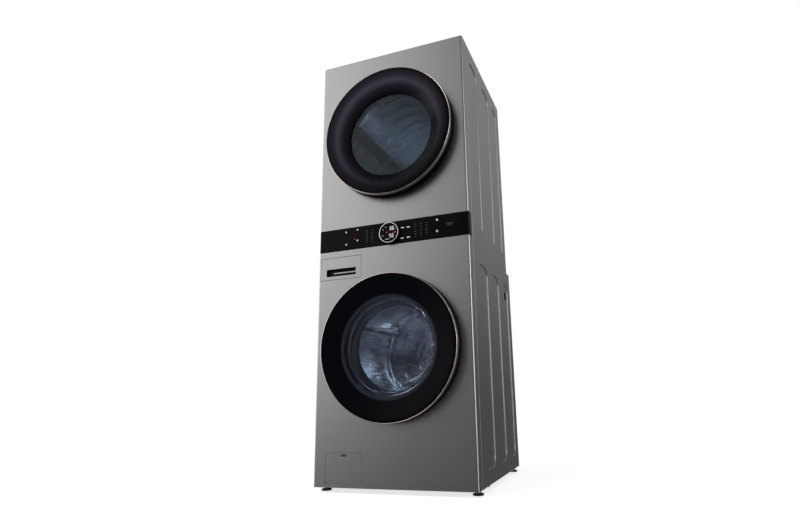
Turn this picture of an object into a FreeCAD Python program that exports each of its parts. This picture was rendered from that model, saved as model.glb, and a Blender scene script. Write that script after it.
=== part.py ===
import FreeCAD, Part
import math
import os
import Sketcher
from FreeCAD import Rotation, Vector

# Washer and dryer stack: one cabinet, a front-loading washer below and a tumble dryer above.
# Frame: origin on the floor under the centre, +Z up, the doors face -Y, +X to the right of
# someone facing the doors. In the outlines "depth" runs into the cabinet from the front panel.

sizes = {
    # cabinet
    "cabWidth": 686.0,
    "stackHeight": 1890.0,
    "washerDepth": 705.0,
    "dryerDepth": 650.0,
    "hoseStub": 16.0,
    "footHeight": 20.0,
    "sheetWall": 1.2,
    "cornerRadius": 8.0,
    "returnDepth": 50.0,
    "seamGap": 0.6,
    "panelGap": 1.0,
    "deckLevel": 957.0,
    "deckWall": 2.0,
    "deckRim": 15.0,
    "rimInset": 4.0,
    "topWall": 2.0,
    "baseWall": 2.0,
    "baseHeight": 40.0,
    "basePadRadius": 14.0,
    "basePadDrop": 9.0,
    "basePadFront": 175.0,
    "basePadRear": 605.0,
    # pressed fields in the cabinet sides
    "embossDepth": 3.0,
    "embossRound": 45.0,
    "washerEmbossLow": 77.0,
    "washerEmbossHigh": 893.0,
    "washerFieldOneStart": 107.0,
    "washerFieldOneEnd": 258.0,
    "washerFieldTwoStart": 328.0,
    "washerFieldTwoEnd": 460.0,
    "washerFieldThreeStart": 550.0,
    "washerFieldThreeEnd": 645.0,
    "dryerEmbossLow": 1020.0,
    "dryerEmbossHigh": 1828.0,
    "dryerFieldOneStart": 90.0,
    "dryerFieldOneEnd": 212.0,
    "dryerFieldTwoStart": 300.0,
    "dryerFieldTwoEnd": 426.0,
    "dryerFieldThreeStart": 499.0,
    "dryerFieldThreeEnd": 590.0,
    "gripDepth": 605.0,
    "gripLevel": 832.0,
    "gripWidth": 34.0,
    "gripHeight": 42.0,
    # control panel and dial
    "controlLow": 981.0,
    "controlHigh": 1079.0,
    "controlWrap": 35.0,
    "controlWall": 3.5,
    "dialLevel": 1028.0,
    "dialRadius": 46.0,
    "dialBand": 7.5,
    "dialOut": 20.0,
    "dialGap": 1.0,
    "dialStem": 15.0,
    # feet
    "footX": 320.0,
    "footFront": 65.0,
    "footRear": 660.0,
    "footRadius": 21.0,
    "footPad": 8.0,
    "stemRadius": 6.0,
    "stemTop": 50.0,
    "runGap": 0.05,
    # doors
    "washerAxis": 555.5,
    "dryerAxis": 1485.0,
    "doorRadius": 296.0,
    "panelHole": 208.0,
    "rimClear": 4.0,
    "rimDraft": 4.5,
    "rimWall": 4.0,
    "ringStart": 32.0,
    "ringFront": 50.0,
    "ringRadius": 294.0,
    "ringBand": 8.0,
    "ringSeat": 0.4,
    "frameWall": 4.0,
    "frameClear": 0.3,
    "frameInset": 9.0,
    "coverStep": 1.0,
    "plugClear": 8.0,
    "plugDepth": 24.0,
    "plugWall": 8.0,
    "windowSeat": 8.0,
    "windowLip": 5.0,
    "windowWall": 4.0,
    "glassWall": 4.0,
    "bowlInset": 18.0,
    "bowlSeat": 35.0,
    "bowlDepth": 112.0,
    "bowlWall": 4.5,
    "bowlTaper": 20.0,
    "bowlCrown": 90.0,
    "bowlClear": 2.0,
    "glassFlat": 10.0,
    "glassBend": 50.0,
    # door hinges and latches
    "hingeX": 286.0,
    "hingeOut": 30.0,
    "hingeRise": 35.0,
    "armHeight": 20.0,
    "armWall": 8.0,
    "barrelRadius": 5.5,
    "pinRadius": 3.0,
    "knuckle": 6.0,
    "knuckleGap": 0.6,
    "slotGap": 1.5,
    "bracketWidth": 48.0,
    "bracketHeight": 46.0,
    "bracketWall": 3.0,
    "latchX": 246.0,
    "latchWidth": 14.0,
    "latchHeight": 16.0,
    "latchReach": 22.0,
    "latchRoom": 7.0,
    "latchDepth": 38.0,
    # washer drum and tub
    "tubRadius": 305.0,
    "tubWall": 6.0,
    "tubFront": 62.0,
    "tubSplit": 300.0,
    "tubRear": 600.0,
    "tubMouth": 222.0,
    "drumRadius": 275.0,
    "drumWall": 1.2,
    "drumFront": 85.0,
    "drumRear": 560.0,
    "lifterBase": 64.0,
    "lifterTip": 24.0,
    "lifterHeight": 46.0,
    "lifterInset": 30.0,
    "spiderArm": 34.0,
    "spiderWall": 22.0,
    "spiderHub": 42.0,
    "shaftRadius": 17.5,
    "shaftEnd": 668.0,
    "bearingHub": 60.0,
    "bearingDepth": 20.0,
    "rotorRadius": 150.0,
    "rotorWall": 4.0,
    "rotorFront": 615.0,
    "rotorRear": 654.0,
    # tub suspension
    "springX": 215.0,
    "springDepth": 420.0,
    "springRadius": 14.0,
    "springWall": 4.0,
    "damperX": 150.0,
    "damperFront": 160.0,
    "damperRear": 480.0,
    "damperRadius": 13.0,
    "damperHeight": 160.0,
    "damperRod": 8.0,
    "rodOverlap": 60.0,
    # gasket
    "gasketInset": 3.0,
    "gasketReach": 27.0,
    "gasketWall": 5.0,
    "gasketFold": 6.0,
    # detergent drawer
    "drawerLeft": -333.0,
    "drawerRight": -139.0,
    "drawerLow": 856.0,
    "drawerHigh": 952.0,
    "drawerFace": 18.0,
    "pullLeft": -304.0,
    "pullRight": -163.0,
    "pullLow": 871.0,
    "pullHigh": 902.0,
    "pullDepth": 14.0,
    "pullBarLeft": -270.0,
    "pullBarLow": 881.0,
    "pullBarHigh": 886.0,
    "trayEnd": 340.0,
    "trayHigh": 925.0,
    "trayWall": 2.5,
    "traySplit": -215.0,
    "housingLow": 849.0,
    "housingHigh": 936.0,
    "housingEnd": 362.0,
    # pump, filter and water connections
    "flapLeft": -288.0,
    "flapRight": -128.0,
    "flapLow": 35.5,
    "flapHigh": 150.0,
    "flapRound": 12.0,
    "flapWall": 3.0,
    "notchLeft": -221.0,
    "notchRight": -195.0,
    "notchLow": 135.0,
    "notchHigh": 146.0,
    "pumpX": -208.0,
    "pumpLevel": 93.0,
    "pumpRadius": 36.0,
    "pumpFront": 31.0,
    "pumpRear": 120.0,
    "capRadius": 30.0,
    "capStart": 12.0,
    "capEnd": 30.0,
    "capThread": 24.0,
    "capBar": 8.0,
    "drainRadius": 14.0,
    "neckStep": 2.0,
    "valveX": -225.0,
    "valvePitch": 50.0,
    "valveLevel": 890.0,
    "valveWidth": 36.0,
    "valveHeight": 44.0,
    "valveDepth": 50.0,
    "valveThread": 13.0,
    "wallClear": 1.0,
    # dryer drum and its supports
    "dryDrumRadius": 310.0,
    "dryDrumFront": 56.0,
    "dryDrumRear": 524.0,
    "dryDrumLip": 10.0,
    "bulkheadInset": 8.0,
    "frontBulkhead": 51.0,
    "frontBulkheadLow": 1090.0,
    "rearBulkhead": 528.0,
    "rearBulkheadLow": 965.0,
    "bulkheadMouth": 212.0,
    "sealWall": 6.0,
    "sealClear": 0.6,
    "airHoleRadius": 9.0,
    "airRingRadius": 150.0,
    "baffleBase": 60.0,
    "baffleTip": 28.0,
    "baffleHeight": 46.0,
    "baffleInset": 34.0,
    "rollerX": 198.0,
    "rollerRadius": 35.0,
    "rollerWidth": 20.0,
    "rollerFront": 75.0,
    "rollerRear": 472.0,
    "rollerGap": 0.3,
    "axleRadius": 6.0,
    "filterWidth": 240.0,
    "filterFront": 30.0,
    "filterWall": 16.0,
    "filterLow": 1130.0,
    "filterHigh": 1291.0,
    # dryer drive and air path
    "driveX": 130.0,
    "driveLevel": 1070.0,
    "wheelRadius": 80.0,
    "wheelFront": 74.0,
    "wheelRear": 120.0,
    "wheelHub": 16.0,
    "bladeWall": 2.0,
    "motorShaft": 8.0,
    "shaftStart": 80.0,
    "shaftStop": 392.0,
    "motorRadius": 60.0,
    "motorFront": 165.0,
    "motorRear": 300.0,
    "motorFoot": 80.0,
    "pulleyRadius": 15.0,
    "pulleyFront": 350.0,
    "pulleyRear": 380.0,
    "beltWall": 2.0,
    "beltGap": 0.3,
    "beltFront": 358.0,
    "beltRear": 372.0,
    "blowerRadius": 92.0,
    "blowerFront": 62.0,
    "blowerRear": 133.0,
    "blowerWall": 2.5,
    "blowerInlet": 50.0,
    "ductX": -100.0,
    "ductLevel": 1060.0,
    "ductRadius": 50.8,
    "ductWall": 1.2,
    "ductEnd": 692.0,
    "heaterWidth": 240.0,
    "heaterLow": 1185.0,
    "heaterHigh": 1465.0,
    "heaterDepth": 70.0,
    # supply terminal
    "terminalX": 250.0,
    "terminalLevel": 1030.0,
    "terminalWidth": 70.0,
    "terminalHeight": 60.0,
    "terminalDepth": 32.0,
    "glandRadius": 14.0,
    "glandBore": 9.0,
    "glandLength": 16.0,
}

lifterCount = 3
spiderArms = 3
bladeCount = 16
airHoles = 12

doc = FreeCAD.newDocument("WasherDryerStack")
sheet = doc.addObject("Spreadsheet::Sheet", "dims")
for row, (alias, amount) in enumerate(sizes.items(), 1):
    sheet.set(f"A{row}", alias)
    sheet.set(f"B{row}", str(amount))
    sheet.setAlias(f"B{row}", alias)
doc.recompute()


class Size:
    """A length that knows its value and the sheet formula that gives it."""

    def __init__(self, value, formula):
        self.value = value
        self.formula = formula

    def __add__(self, other):
        return combine(self, "+", other)

    def __radd__(self, other):
        return combine(other, "+", self)

    def __sub__(self, other):
        return combine(self, "-", other)

    def __rsub__(self, other):
        return combine(other, "-", self)

    def __mul__(self, other):
        return combine(self, "*", other)

    def __rmul__(self, other):
        return combine(other, "*", self)

    def __truediv__(self, other):
        return combine(self, "/", other)

    def __neg__(self):
        return combine(0, "-", self)


def as_size(amount):
    return amount if isinstance(amount, Size) else Size(float(amount), repr(float(amount)))


def combine(left, sign, right):
    left, right = as_size(left), as_size(right)
    worked = {
        "+": lambda a, b: a + b,
        "-": lambda a, b: a - b,
        "*": lambda a, b: a * b,
        "/": lambda a, b: a / b,
    }
    return Size(worked[sign](left.value, right.value), f"({left.formula} {sign} {right.formula})")


def square_root(size):
    return Size(math.sqrt(size.value), f"sqrt({size.formula})")


def other_leg(long_side, short_side):
    """The remaining side of a right triangle."""
    return square_root(long_side * long_side - short_side * short_side)


class Dims:
    """The sheet's sizes by name."""

    def __getattr__(self, alias):
        return Size(float(sheet.get(alias)), "dims." + alias)


s = Dims()
half = s.cabWidth / 2
front = (s.ringFront - s.washerDepth - s.hoseStub) / 2
top = s.stackHeight - s.topWall
# edges of the door parts that reach into the panel hole
plugEdge = s.panelHole - s.plugClear
windowEdge = plugEdge - s.windowSeat
bowlEdge = s.panelHole - s.bowlInset
deckTop = s.deckLevel + s.deckWall

pieces = []
cuts = []


# ---------------------------------------------------------------- modelling helpers

def bind(target, path, amount):
    target.setExpression(path, as_size(amount).formula)


def put(target, x=0, y=0, z=0):
    """Places an object, each coordinate bound to the sheet."""
    place = target.Placement
    place.Base = Vector(as_size(x).value, as_size(y).value, as_size(z).value)
    target.Placement = place
    bind(target, "Placement.Base.x", x)
    bind(target, "Placement.Base.y", y)
    bind(target, "Placement.Base.z", z)


def keep(target, name):
    """Names a finished piece, which becomes a node of its own."""
    target.Label = name
    pieces.append(target)
    return target


def new_body(name, x=0, y=front, z=0):
    body = keep(doc.addObject("PartDesign::Body", name), name)
    put(body, x, y, z)
    return body


def origin_feature(body, role):
    return next(item for item in body.Origin.OriginFeatures if item.Role == role)


def arc_between(start, end, radius):
    """An arc's centre and angles; a positive radius turns counter-clockwise."""
    middle = ((start[0] + end[0]) / 2, (start[1] + end[1]) / 2)
    across = (end[0] - start[0], end[1] - start[1])
    chord = math.hypot(*across)
    rise = math.sqrt(max(radius * radius - chord * chord / 4, 0)) * math.copysign(1, radius)
    centre = (middle[0] - across[1] / chord * rise, middle[1] + across[0] / chord * rise)
    first = math.atan2(start[1] - centre[1], start[0] - centre[0])
    last = math.atan2(end[1] - centre[1], end[0] - centre[0])
    return centre, first, last


def add_outline(sketch, points):
    """A closed outline of (x, y) or (x, y, radius), where a radius rounds the way to the next."""
    flat = [(as_size(p[0]).value, as_size(p[1]).value) for p in points]
    edges = []
    for index, point in enumerate(points):
        start, end = flat[index], flat[(index + 1) % len(flat)]
        if len(point) == 2:
            line = Part.LineSegment(Vector(*start, 0), Vector(*end, 0))
            edges.append((sketch.addGeometry(line, False), 1, 2))
            continue
        radius = as_size(point[2]).value
        centre, first, last = arc_between(start, end, radius)
        circle = Part.Circle(Vector(*centre, 0), Vector(0, 0, 1), abs(radius))
        if radius > 0:
            edge = sketch.addGeometry(Part.ArcOfCircle(circle, first, last), False)
            edges.append((edge, 1, 2))
        else:
            edge = sketch.addGeometry(Part.ArcOfCircle(circle, last, first), False)
            edges.append((edge, 2, 1))
        size = abs(radius)
        rule = sketch.addConstraint(Sketcher.Constraint("Radius", edge, size))
        label = f"radius{edge}"
        sketch.renameConstraint(rule, label)
        amount = point[2] if radius > 0 else -as_size(point[2])
        bind(sketch, "Constraints." + label, amount)
    for index, (edge, begin, finish) in enumerate(edges):
        following, next_begin, unused = edges[(index + 1) % len(edges)]
        sketch.addConstraint(Sketcher.Constraint("Coincident", edge, finish, following, next_begin))
    for (edge, begin, finish), point, at in zip(edges, points, flat):
        for axis, amount, value in (("X", point[0], at[0]), ("Y", point[1], at[1])):
            rule = sketch.addConstraint(Sketcher.Constraint("Distance" + axis, -1, 1, edge, begin, value))
            label = f"at{axis}{edge}"
            sketch.renameConstraint(rule, label)
            bind(sketch, "Constraints." + label, amount)


def add_circle(sketch, x, y, radius):
    middle = (as_size(x).value, as_size(y).value)
    circle = Part.Circle(Vector(*middle, 0), Vector(0, 0, 1), as_size(radius).value)
    edge = sketch.addGeometry(circle, False)
    rules = (
        ("Radius", (edge, as_size(radius).value), radius),
        ("DistanceX", (-1, 1, edge, 3, middle[0]), x),
        ("DistanceY", (-1, 1, edge, 3, middle[1]), y),
    )
    for kind, terms, amount in rules:
        rule = sketch.addConstraint(Sketcher.Constraint(kind, *terms))
        label = f"{kind}{edge}"
        sketch.renameConstraint(rule, label)
        bind(sketch, "Constraints." + label, amount)


def draw(body, plane, outlines, level=0):
    """A sketch on one of the body's planes, moved along the axis that the plane crosses.

    An outline is a list of points, or a tuple (x, y, radius) for a circle. On XY the sketch
    shows x and depth, on XZ x and height, on YZ depth and height.
    """
    sketch = body.newObject("Sketcher::SketchObject", "Outline")
    sketch.AttachmentSupport = [(origin_feature(body, plane + "_Plane"), "")]
    sketch.MapMode = "FlatFace"
    for outline in outlines:
        if isinstance(outline, tuple):
            add_circle(sketch, *outline)
        else:
            add_outline(sketch, outline)
    bind(sketch, "AttachmentOffset.Base.z", -as_size(level) if plane == "XZ" else level)
    return sketch


def slab(body, plane, outlines, start, end):
    """Material between two levels along the axis that the plane crosses."""
    pad = body.newObject("PartDesign::Pad", "Pad")
    pad.Profile = draw(body, plane, outlines, start)
    pad.Reversed = plane == "XZ"
    bind(pad, "Length", as_size(end) - start)
    return pad


def cut(body, plane, outlines, start, end):
    """A cut between two levels along the axis that the plane crosses."""
    pocket = body.newObject("PartDesign::Pocket", "Pocket")
    pocket.Profile = draw(body, plane, outlines, start)
    pocket.Reversed = plane != "XZ"
    bind(pocket, "Length", as_size(end) - start)
    cuts.append(pocket)
    return pocket


def turned(body, outline, plane="XY"):
    """A solid of revolution: radius and depth about Y, or radius and height about Z."""
    turn = body.newObject("PartDesign::Revolution", "Turned")
    turn.Profile = draw(body, plane, [outline])
    turn.ReferenceAxis = (turn.Profile[0], ["V_Axis"])
    turn.Angle = 360
    return turn


def around(body, feature, count):
    """Repeats a feature evenly about the body's Y axis."""
    pattern = body.newObject("PartDesign::PolarPattern", "Around")
    pattern.Originals = [feature]
    pattern.Axis = (origin_feature(body, "Y_Axis"), [""])
    pattern.Angle = 360
    pattern.Occurrences = count
    body.Tip = pattern
    return pattern


def mirrored(body, features):
    """Repeats features on the other side of the body's centre plane."""
    mirror = body.newObject("PartDesign::Mirrored", "OtherSide")
    mirror.Originals = features
    mirror.MirrorPlane = (origin_feature(body, "YZ_Plane"), [""])
    body.Tip = mirror
    return mirror


def rectangle(left, low, right, high):
    return [(left, low), (right, low), (right, high), (left, high)]


def rounded(left, low, right, high, radius, low_radius=None):
    """A rectangle with rounded corners, the two lower ones to a radius of their own if it is given."""
    foot = low_radius or radius
    return [
        (left + foot, low), (right - foot, low, foot),
        (right, low + foot), (right, high - radius, radius),
        (right - radius, high), (left + radius, high, radius),
        (left, high - radius), (left, low + foot, foot),
    ]


def box(x, y, z):
    """A plain box between pairs of coordinates; y is depth behind the front panel."""
    block = doc.addObject("Part::Box", "Box")
    bind(block, "Length", as_size(x[1]) - x[0])
    bind(block, "Width", as_size(y[1]) - y[0])
    bind(block, "Height", as_size(z[1]) - z[0])
    put(block, x[0], front + y[0], z[0])
    return block


def rod(x, y, z, radius, along):
    """A round rod along Y or Z, the pair of that axis giving its ends."""
    bar = doc.addObject("Part::Cylinder", "Rod")
    bind(bar, "Radius", radius)
    if along == "y":
        bar.Placement.Rotation = Rotation(Vector(1, 0, 0), -90)
        bind(bar, "Height", as_size(y[1]) - y[0])
        put(bar, x, front + y[0], z)
    else:
        bind(bar, "Height", as_size(z[1]) - z[0])
        put(bar, x, front + y, z[0])
    return bar


def fused(parts):
    whole = doc.addObject("Part::MultiFuse", "Fused")
    whole.Shapes = parts
    return whole


def minus(base, tools):
    left_over = doc.addObject("Part::Cut", "Cut")
    left_over.Base = base
    left_over.Tool = tools[0] if len(tools) == 1 else fused(tools)
    return left_over


# ---------------------------------------------------------------- cabinet

def panel_profile(depth, wall):
    """The front panel in plan: flat face, rounded corners and returns down both sides."""
    bend = s.cornerRadius
    inner = half - wall
    return [
        (-half, depth), (-half, bend, bend), (-(half - bend), 0), (half - bend, 0, bend),
        (half, bend), (half, depth), (inner, depth), (inner, bend, -(bend - wall)),
        (half - bend, wall), (-(half - bend), wall, -(bend - wall)), (-inner, bend), (-inner, depth),
    ]


def solid_profile(depth):
    """The same outline filled in."""
    bend = s.cornerRadius
    return [
        (-half, depth), (-half, bend, bend), (-(half - bend), 0), (half - bend, 0, bend),
        (half, bend), (half, depth),
    ]


def door_openings(axis):
    """Door hole, hinge arm slots and latch slot in a front panel."""
    arm = s.armWall / 2 + s.slotGap
    tall = s.armHeight / 2 + s.slotGap
    outlines = [(as_size(0), axis, s.panelHole)]
    for rise in (s.hingeRise, -s.hingeRise):
        outlines.append(rectangle(-s.hingeX - arm, axis + rise - tall, -s.hingeX + arm, axis + rise + tall))
    outlines.append(latch_slot(axis))
    return outlines


def latch_slot(axis):
    wide = s.latchWidth / 2 + s.latchRoom
    tall = s.latchHeight / 2 + s.latchRoom
    return rectangle(s.latchX - wide, axis - tall, s.latchX + wide, axis + tall)


def make_washer_front():
    body = new_body("washer_front_panel")
    slab(body, "XY", [panel_profile(s.returnDepth, s.sheetWall)],
         s.footHeight + s.panelGap, s.controlLow - s.panelGap)
    gap = s.panelGap
    drawer = rectangle(s.drawerLeft - gap, s.drawerLow - gap, s.drawerRight + gap, s.drawerHigh + gap)
    flap = rounded(s.flapLeft - gap, s.flapLow - gap, s.flapRight + gap, s.flapHigh + gap,
                   s.flapRound + gap, s.flapRound / 2)
    cut(body, "XZ", door_openings(s.washerAxis) + [drawer, flap], -s.panelGap, s.sheetWall + s.panelGap)


def make_dryer_front():
    body = new_body("dryer_front_panel")
    low = s.controlHigh + s.panelGap
    slab(body, "XY", [panel_profile(s.returnDepth, s.sheetWall)], low, top)
    behind = s.controlWrap + s.seamGap
    strips = [
        rectangle(-half, behind, -(half - s.sheetWall), s.returnDepth),
        rectangle(half - s.sheetWall, behind, half, s.returnDepth),
    ]
    slab(body, "XY", strips, s.controlLow, low)
    cut(body, "XZ", door_openings(s.dryerAxis), -s.panelGap, s.sheetWall + s.panelGap)


def make_cabinet(name, depth, low, high, fields, field_low, field_high):
    """Both sides and the rear wall as one bent sheet, with pressed fields in the sides."""
    body = new_body(name)
    wall = s.sheetWall
    start = s.returnDepth + s.seamGap
    inner = half - wall
    slab(body, "XY", [[
        (-half, start), (-inner, start), (-inner, depth - wall), (inner, depth - wall),
        (inner, start), (half, start), (half, depth), (-half, depth),
    ]], low, high)
    round_in = s.embossRound
    raised = [
        rounded(a - wall, field_low - wall, b + wall, field_high + wall, round_in + wall)
        for a, b in fields
    ]
    pressed = [rounded(a, field_low, b, field_high, round_in) for a, b in fields]
    bump = slab(body, "YZ", raised, inner - s.embossDepth, inner)
    dent = cut(body, "YZ", pressed, half - s.embossDepth, half + s.panelGap)
    mirrored(body, [bump, dent])
    return body


def make_washer_cabinet():
    fields = [
        (s.washerFieldOneStart, s.washerFieldOneEnd),
        (s.washerFieldTwoStart, s.washerFieldTwoEnd),
        (s.washerFieldThreeStart, s.washerFieldThreeEnd),
    ]
    body = make_cabinet("washer_cabinet", s.washerDepth, s.footHeight, s.deckLevel, fields,
                        s.washerEmbossLow, s.washerEmbossHigh)
    valves = [
        (s.valveX + side * s.valvePitch / 2, s.valveLevel, s.valveThread + s.wallClear)
        for side in (-1, 1)
    ]
    drain = (s.pumpX, s.pumpLevel, s.drainRadius + s.wallClear)
    behind = s.washerDepth - s.sheetWall - s.panelGap
    cut(body, "XZ", valves + [drain], behind, s.washerDepth + s.panelGap)
    wide, tall = s.gripWidth / 2, s.gripHeight / 2
    grip = rounded(s.gripDepth - wide, s.gripLevel - tall, s.gripDepth + wide, s.gripLevel + tall,
                   s.cornerRadius)
    reach = s.embossDepth + s.sheetWall + s.panelGap
    cut(body, "YZ", [grip], half - reach, half + s.panelGap)
    cut(body, "YZ", [grip], -half - s.panelGap, -half + reach)


def make_dryer_cabinet():
    fields = [
        (s.dryerFieldOneStart, s.dryerFieldOneEnd),
        (s.dryerFieldTwoStart, s.dryerFieldTwoEnd),
        (s.dryerFieldThreeStart, s.dryerFieldThreeEnd),
    ]
    body = make_cabinet("dryer_cabinet", s.dryerDepth, deckTop, top, fields,
                        s.dryerEmbossLow, s.dryerEmbossHigh)
    duct = (s.ductX, s.ductLevel, s.ductRadius + s.wallClear)
    cut(body, "XZ", [duct], s.dryerDepth - s.sheetWall - s.panelGap, s.dryerDepth + s.panelGap)


def rim_ring(depth, wall, inset):
    """A rectangular upstand that locates a flat sheet inside the cabinet."""
    start = s.returnDepth + s.seamGap + inset
    outer = rectangle(-(half - inset), start, half - inset, depth - inset)
    inner = rectangle(-(half - inset - wall), start + wall, half - inset - wall, depth - inset - wall)
    return [outer, inner]


def make_deck():
    body = new_body("middle_deck")
    start = s.returnDepth + s.seamGap
    slab(body, "XY", [rectangle(-half, start, half, s.washerDepth)], s.deckLevel, deckTop)
    slab(body, "XY", rim_ring(s.washerDepth, s.deckWall, s.rimInset), s.deckLevel - s.deckRim, s.deckLevel)


def make_top():
    body = new_body("top_cover")
    slab(body, "XY", [solid_profile(s.dryerDepth)], top, s.stackHeight)
    slab(body, "XY", rim_ring(s.dryerDepth, s.topWall, s.rimInset + s.embossDepth), top - s.deckRim, top)


def foot_places():
    return [
        ("foot_front_left", -s.footX, s.footFront),
        ("foot_front_right", s.footX, s.footFront),
        ("foot_rear_left", -s.footX, s.footRear),
        ("foot_rear_right", s.footX, s.footRear),
    ]


def make_base():
    body = new_body("base_frame")
    wall = s.baseWall
    side = half - s.rimInset
    start, end = s.rimInset, s.washerDepth - s.rimInset
    low = s.footHeight
    slab(body, "XY", [rectangle(-side, start, side, end)], low, low + s.baseHeight)
    cut(body, "XY", [rectangle(-side + wall, start + wall, side - wall, end - wall)],
        low + wall, low + s.baseHeight + wall)
    pads = [
        (x * s.footX, depth, s.basePadRadius)
        for x in (-1, 1) for depth in (s.basePadFront, s.basePadRear)
    ]
    slab(body, "XY", pads, low - s.basePadDrop, low)
    stems = [(x, depth, s.stemRadius + s.runGap) for name, x, depth in foot_places()]
    cut(body, "XY", stems, low - wall, low + wall + wall)


def make_feet():
    for name, x, depth in foot_places():
        body = new_body(name, x, front + depth, 0)
        shoulder = s.footRadius - s.footPad / 2
        turned(body, [
            (0, 0), (s.footRadius, 0), (s.footRadius, s.footPad / 2), (shoulder, s.footPad),
            (s.stemRadius, s.footPad), (s.stemRadius, s.stemTop), (0, s.stemTop),
        ], "XZ")


def make_control_panel():
    body = new_body("control_panel")
    low, high = s.controlLow + s.panelGap / 2, s.controlHigh - s.panelGap / 2
    slab(body, "XY", [solid_profile(s.controlWrap)], low, high)
    wall = s.controlWall
    hollow = rectangle(-(half - wall), low + wall, half - wall, high - wall)
    cut(body, "XZ", [hollow], wall, s.controlWrap + s.panelGap)
    cut(body, "XZ", [(as_size(0), s.dialLevel, s.dialStem + s.dialGap)], -s.panelGap, wall + s.panelGap)


def make_dial():
    inner = s.dialRadius - s.dialBand
    gap = s.dialGap
    ring = new_body("dial_ring", 0, front, s.dialLevel)
    turned(ring, [
        (inner, -gap), (inner, -s.dialOut + gap), (inner + gap, -s.dialOut),
        (s.dialRadius - 2 * gap, -s.dialOut), (s.dialRadius, -s.dialOut + 2 * gap), (s.dialRadius, -gap),
    ])
    face = new_body("dial_display", 0, front, s.dialLevel)
    turned(face, [
        (0, -s.dialOut + gap), (inner - 2 * gap, -s.dialOut + gap), (inner - gap, -s.dialOut + 2 * gap),
        (inner - gap, 0), (s.dialStem, 0), (s.dialStem, s.controlWall + gap), (0, s.controlWall + gap),
    ])


# ---------------------------------------------------------------- doors

def hinge_slots(body, deepest):
    """Room at the door's left edge for the fixed hinge arms, over the whole swing."""
    tall = s.armHeight / 2 + s.knuckleGap + s.knuckle + s.slotGap
    inner = -(s.hingeX - s.barrelRadius - s.knuckle)
    outer = -(s.doorRadius + s.slotGap)
    notches = [rectangle(outer, rise - tall, inner, rise + tall) for rise in (s.hingeRise, -s.hingeRise)]
    cut(body, "XZ", notches, -deepest, 0)


def slot_reach():
    return s.hingeOut + s.armWall / 2 + s.barrelRadius


def make_trim_ring(door, axis):
    body = new_body(door + "_trim_ring", 0, front, axis)
    outer = s.ringRadius
    inner = outer - s.ringBand
    back = -s.ringStart - s.ringSeat
    edge = s.ringBand / 2
    turned(body, [
        (inner, back), (outer, back), (outer, -s.ringFront + edge), (outer - edge, -s.ringFront),
        (inner, -s.ringFront),
    ])
    hinge_slots(body, slot_reach())


def rim_outline(tail):
    """Outer wall of a door, from its rear edge to the seat of the trim ring, then a tail."""
    slim = s.doorRadius - s.rimDraft
    seat = s.ringRadius - s.ringBand - s.ringSeat
    return [
        (s.doorRadius - s.rimWall, -s.rimClear), (s.doorRadius, -s.rimClear), (slim, -s.ringStart),
        (seat, -s.ringStart),
    ] + tail + [
        (seat - s.rimWall, -s.ringStart + s.rimWall), (slim - s.rimWall / 2, -s.ringStart + s.rimWall),
    ]


def make_dryer_cover():
    """Rim and dished surround in one moulding, down to the lip that holds the window."""
    body = new_body("dryer_door_cover", 0, front, s.dryerAxis)
    seat = s.ringRadius - s.ringBand - s.ringSeat
    lip, out, wall = windowEdge, s.ringFront, s.rimWall
    slope = lip + (seat - lip) / 2
    shoulder = -out + s.coverStep
    turned(body, rim_outline([
        (seat, shoulder), (seat - wall, -out), (seat - 6 * wall, shoulder), (slope, -out + 3 * wall),
        (lip + 3 * wall, -out / 3), (lip, -s.windowLip), (lip, -s.windowLip + wall / 2),
        (lip + 4 * wall, -out / 3 + wall), (slope, -out + 4 * wall), (seat - 6 * wall, shoulder + wall),
        (seat - wall, -out + wall),
    ]))
    hinge_slots(body, slot_reach())


def make_dryer_window():
    body = new_body("dryer_door_window", 0, front, s.dryerAxis)
    edge = plugEdge - 2 * s.frameClear - s.windowWall / 2
    outer = -s.windowLip + s.rimWall / 2 + s.frameClear
    turned(body, [(0, outer), (edge, outer), (edge, outer + s.windowWall), (0, outer + s.windowWall)])


def make_dryer_inner_frame():
    """Rear cover of the dryer door with the collar that reaches into the opening."""
    body = new_body("dryer_door_inner_frame", 0, front, s.dryerAxis)
    outer = s.doorRadius - s.frameInset
    back, face = -s.rimClear, -s.rimClear - s.frameWall
    plug, tip = plugEdge, plugEdge - s.windowWall / 2
    glass_back = -s.windowLip + s.rimWall / 2 + s.windowWall + 2 * s.frameClear
    turned(body, [
        (outer, back), (outer, face), (plug + 2 * s.frameWall, face), (plug, -s.rimClear),
        (tip, -s.rimClear), (tip, glass_back), (tip - s.plugWall, glass_back),
        (tip - s.plugWall, s.plugDepth), (plug - s.windowWall / 2, s.plugDepth), (plug, back + s.frameWall),
        (plug + s.frameWall, back),
    ])
    hinge_slots(body, slot_reach())


def make_washer_rim():
    body = new_body("washer_door_rim", 0, front, s.washerAxis)
    seat = s.ringRadius - s.ringBand - s.ringSeat
    ledge = -s.ringFront + s.glassWall + s.rimWall / 2
    turned(body, rim_outline([(seat, ledge), (seat - s.rimWall, ledge)]))
    hinge_slots(body, slot_reach())


def make_washer_glass():
    """Shallow dished front glass, seated on the rim inside the trim ring."""
    body = new_body("washer_door_glass", 0, front, s.washerAxis)
    edge = s.ringRadius - s.ringBand - 2 * s.ringSeat
    out, wall = s.ringFront, s.glassWall
    bend, flat = bowlEdge + s.glassBend, bowlEdge + s.glassFlat
    turned(body, [
        (0, -out / 2), (0, -out / 2 - wall), (flat / 2, -out / 2 - wall), (flat, -out / 2 - 2 * wall),
        (bend, -out + 2 * wall), (edge, -out), (edge, -out + wall), (bend, -out + 3 * wall),
        (flat, -out / 2 - wall), (flat / 2, -out / 2),
    ])


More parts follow.
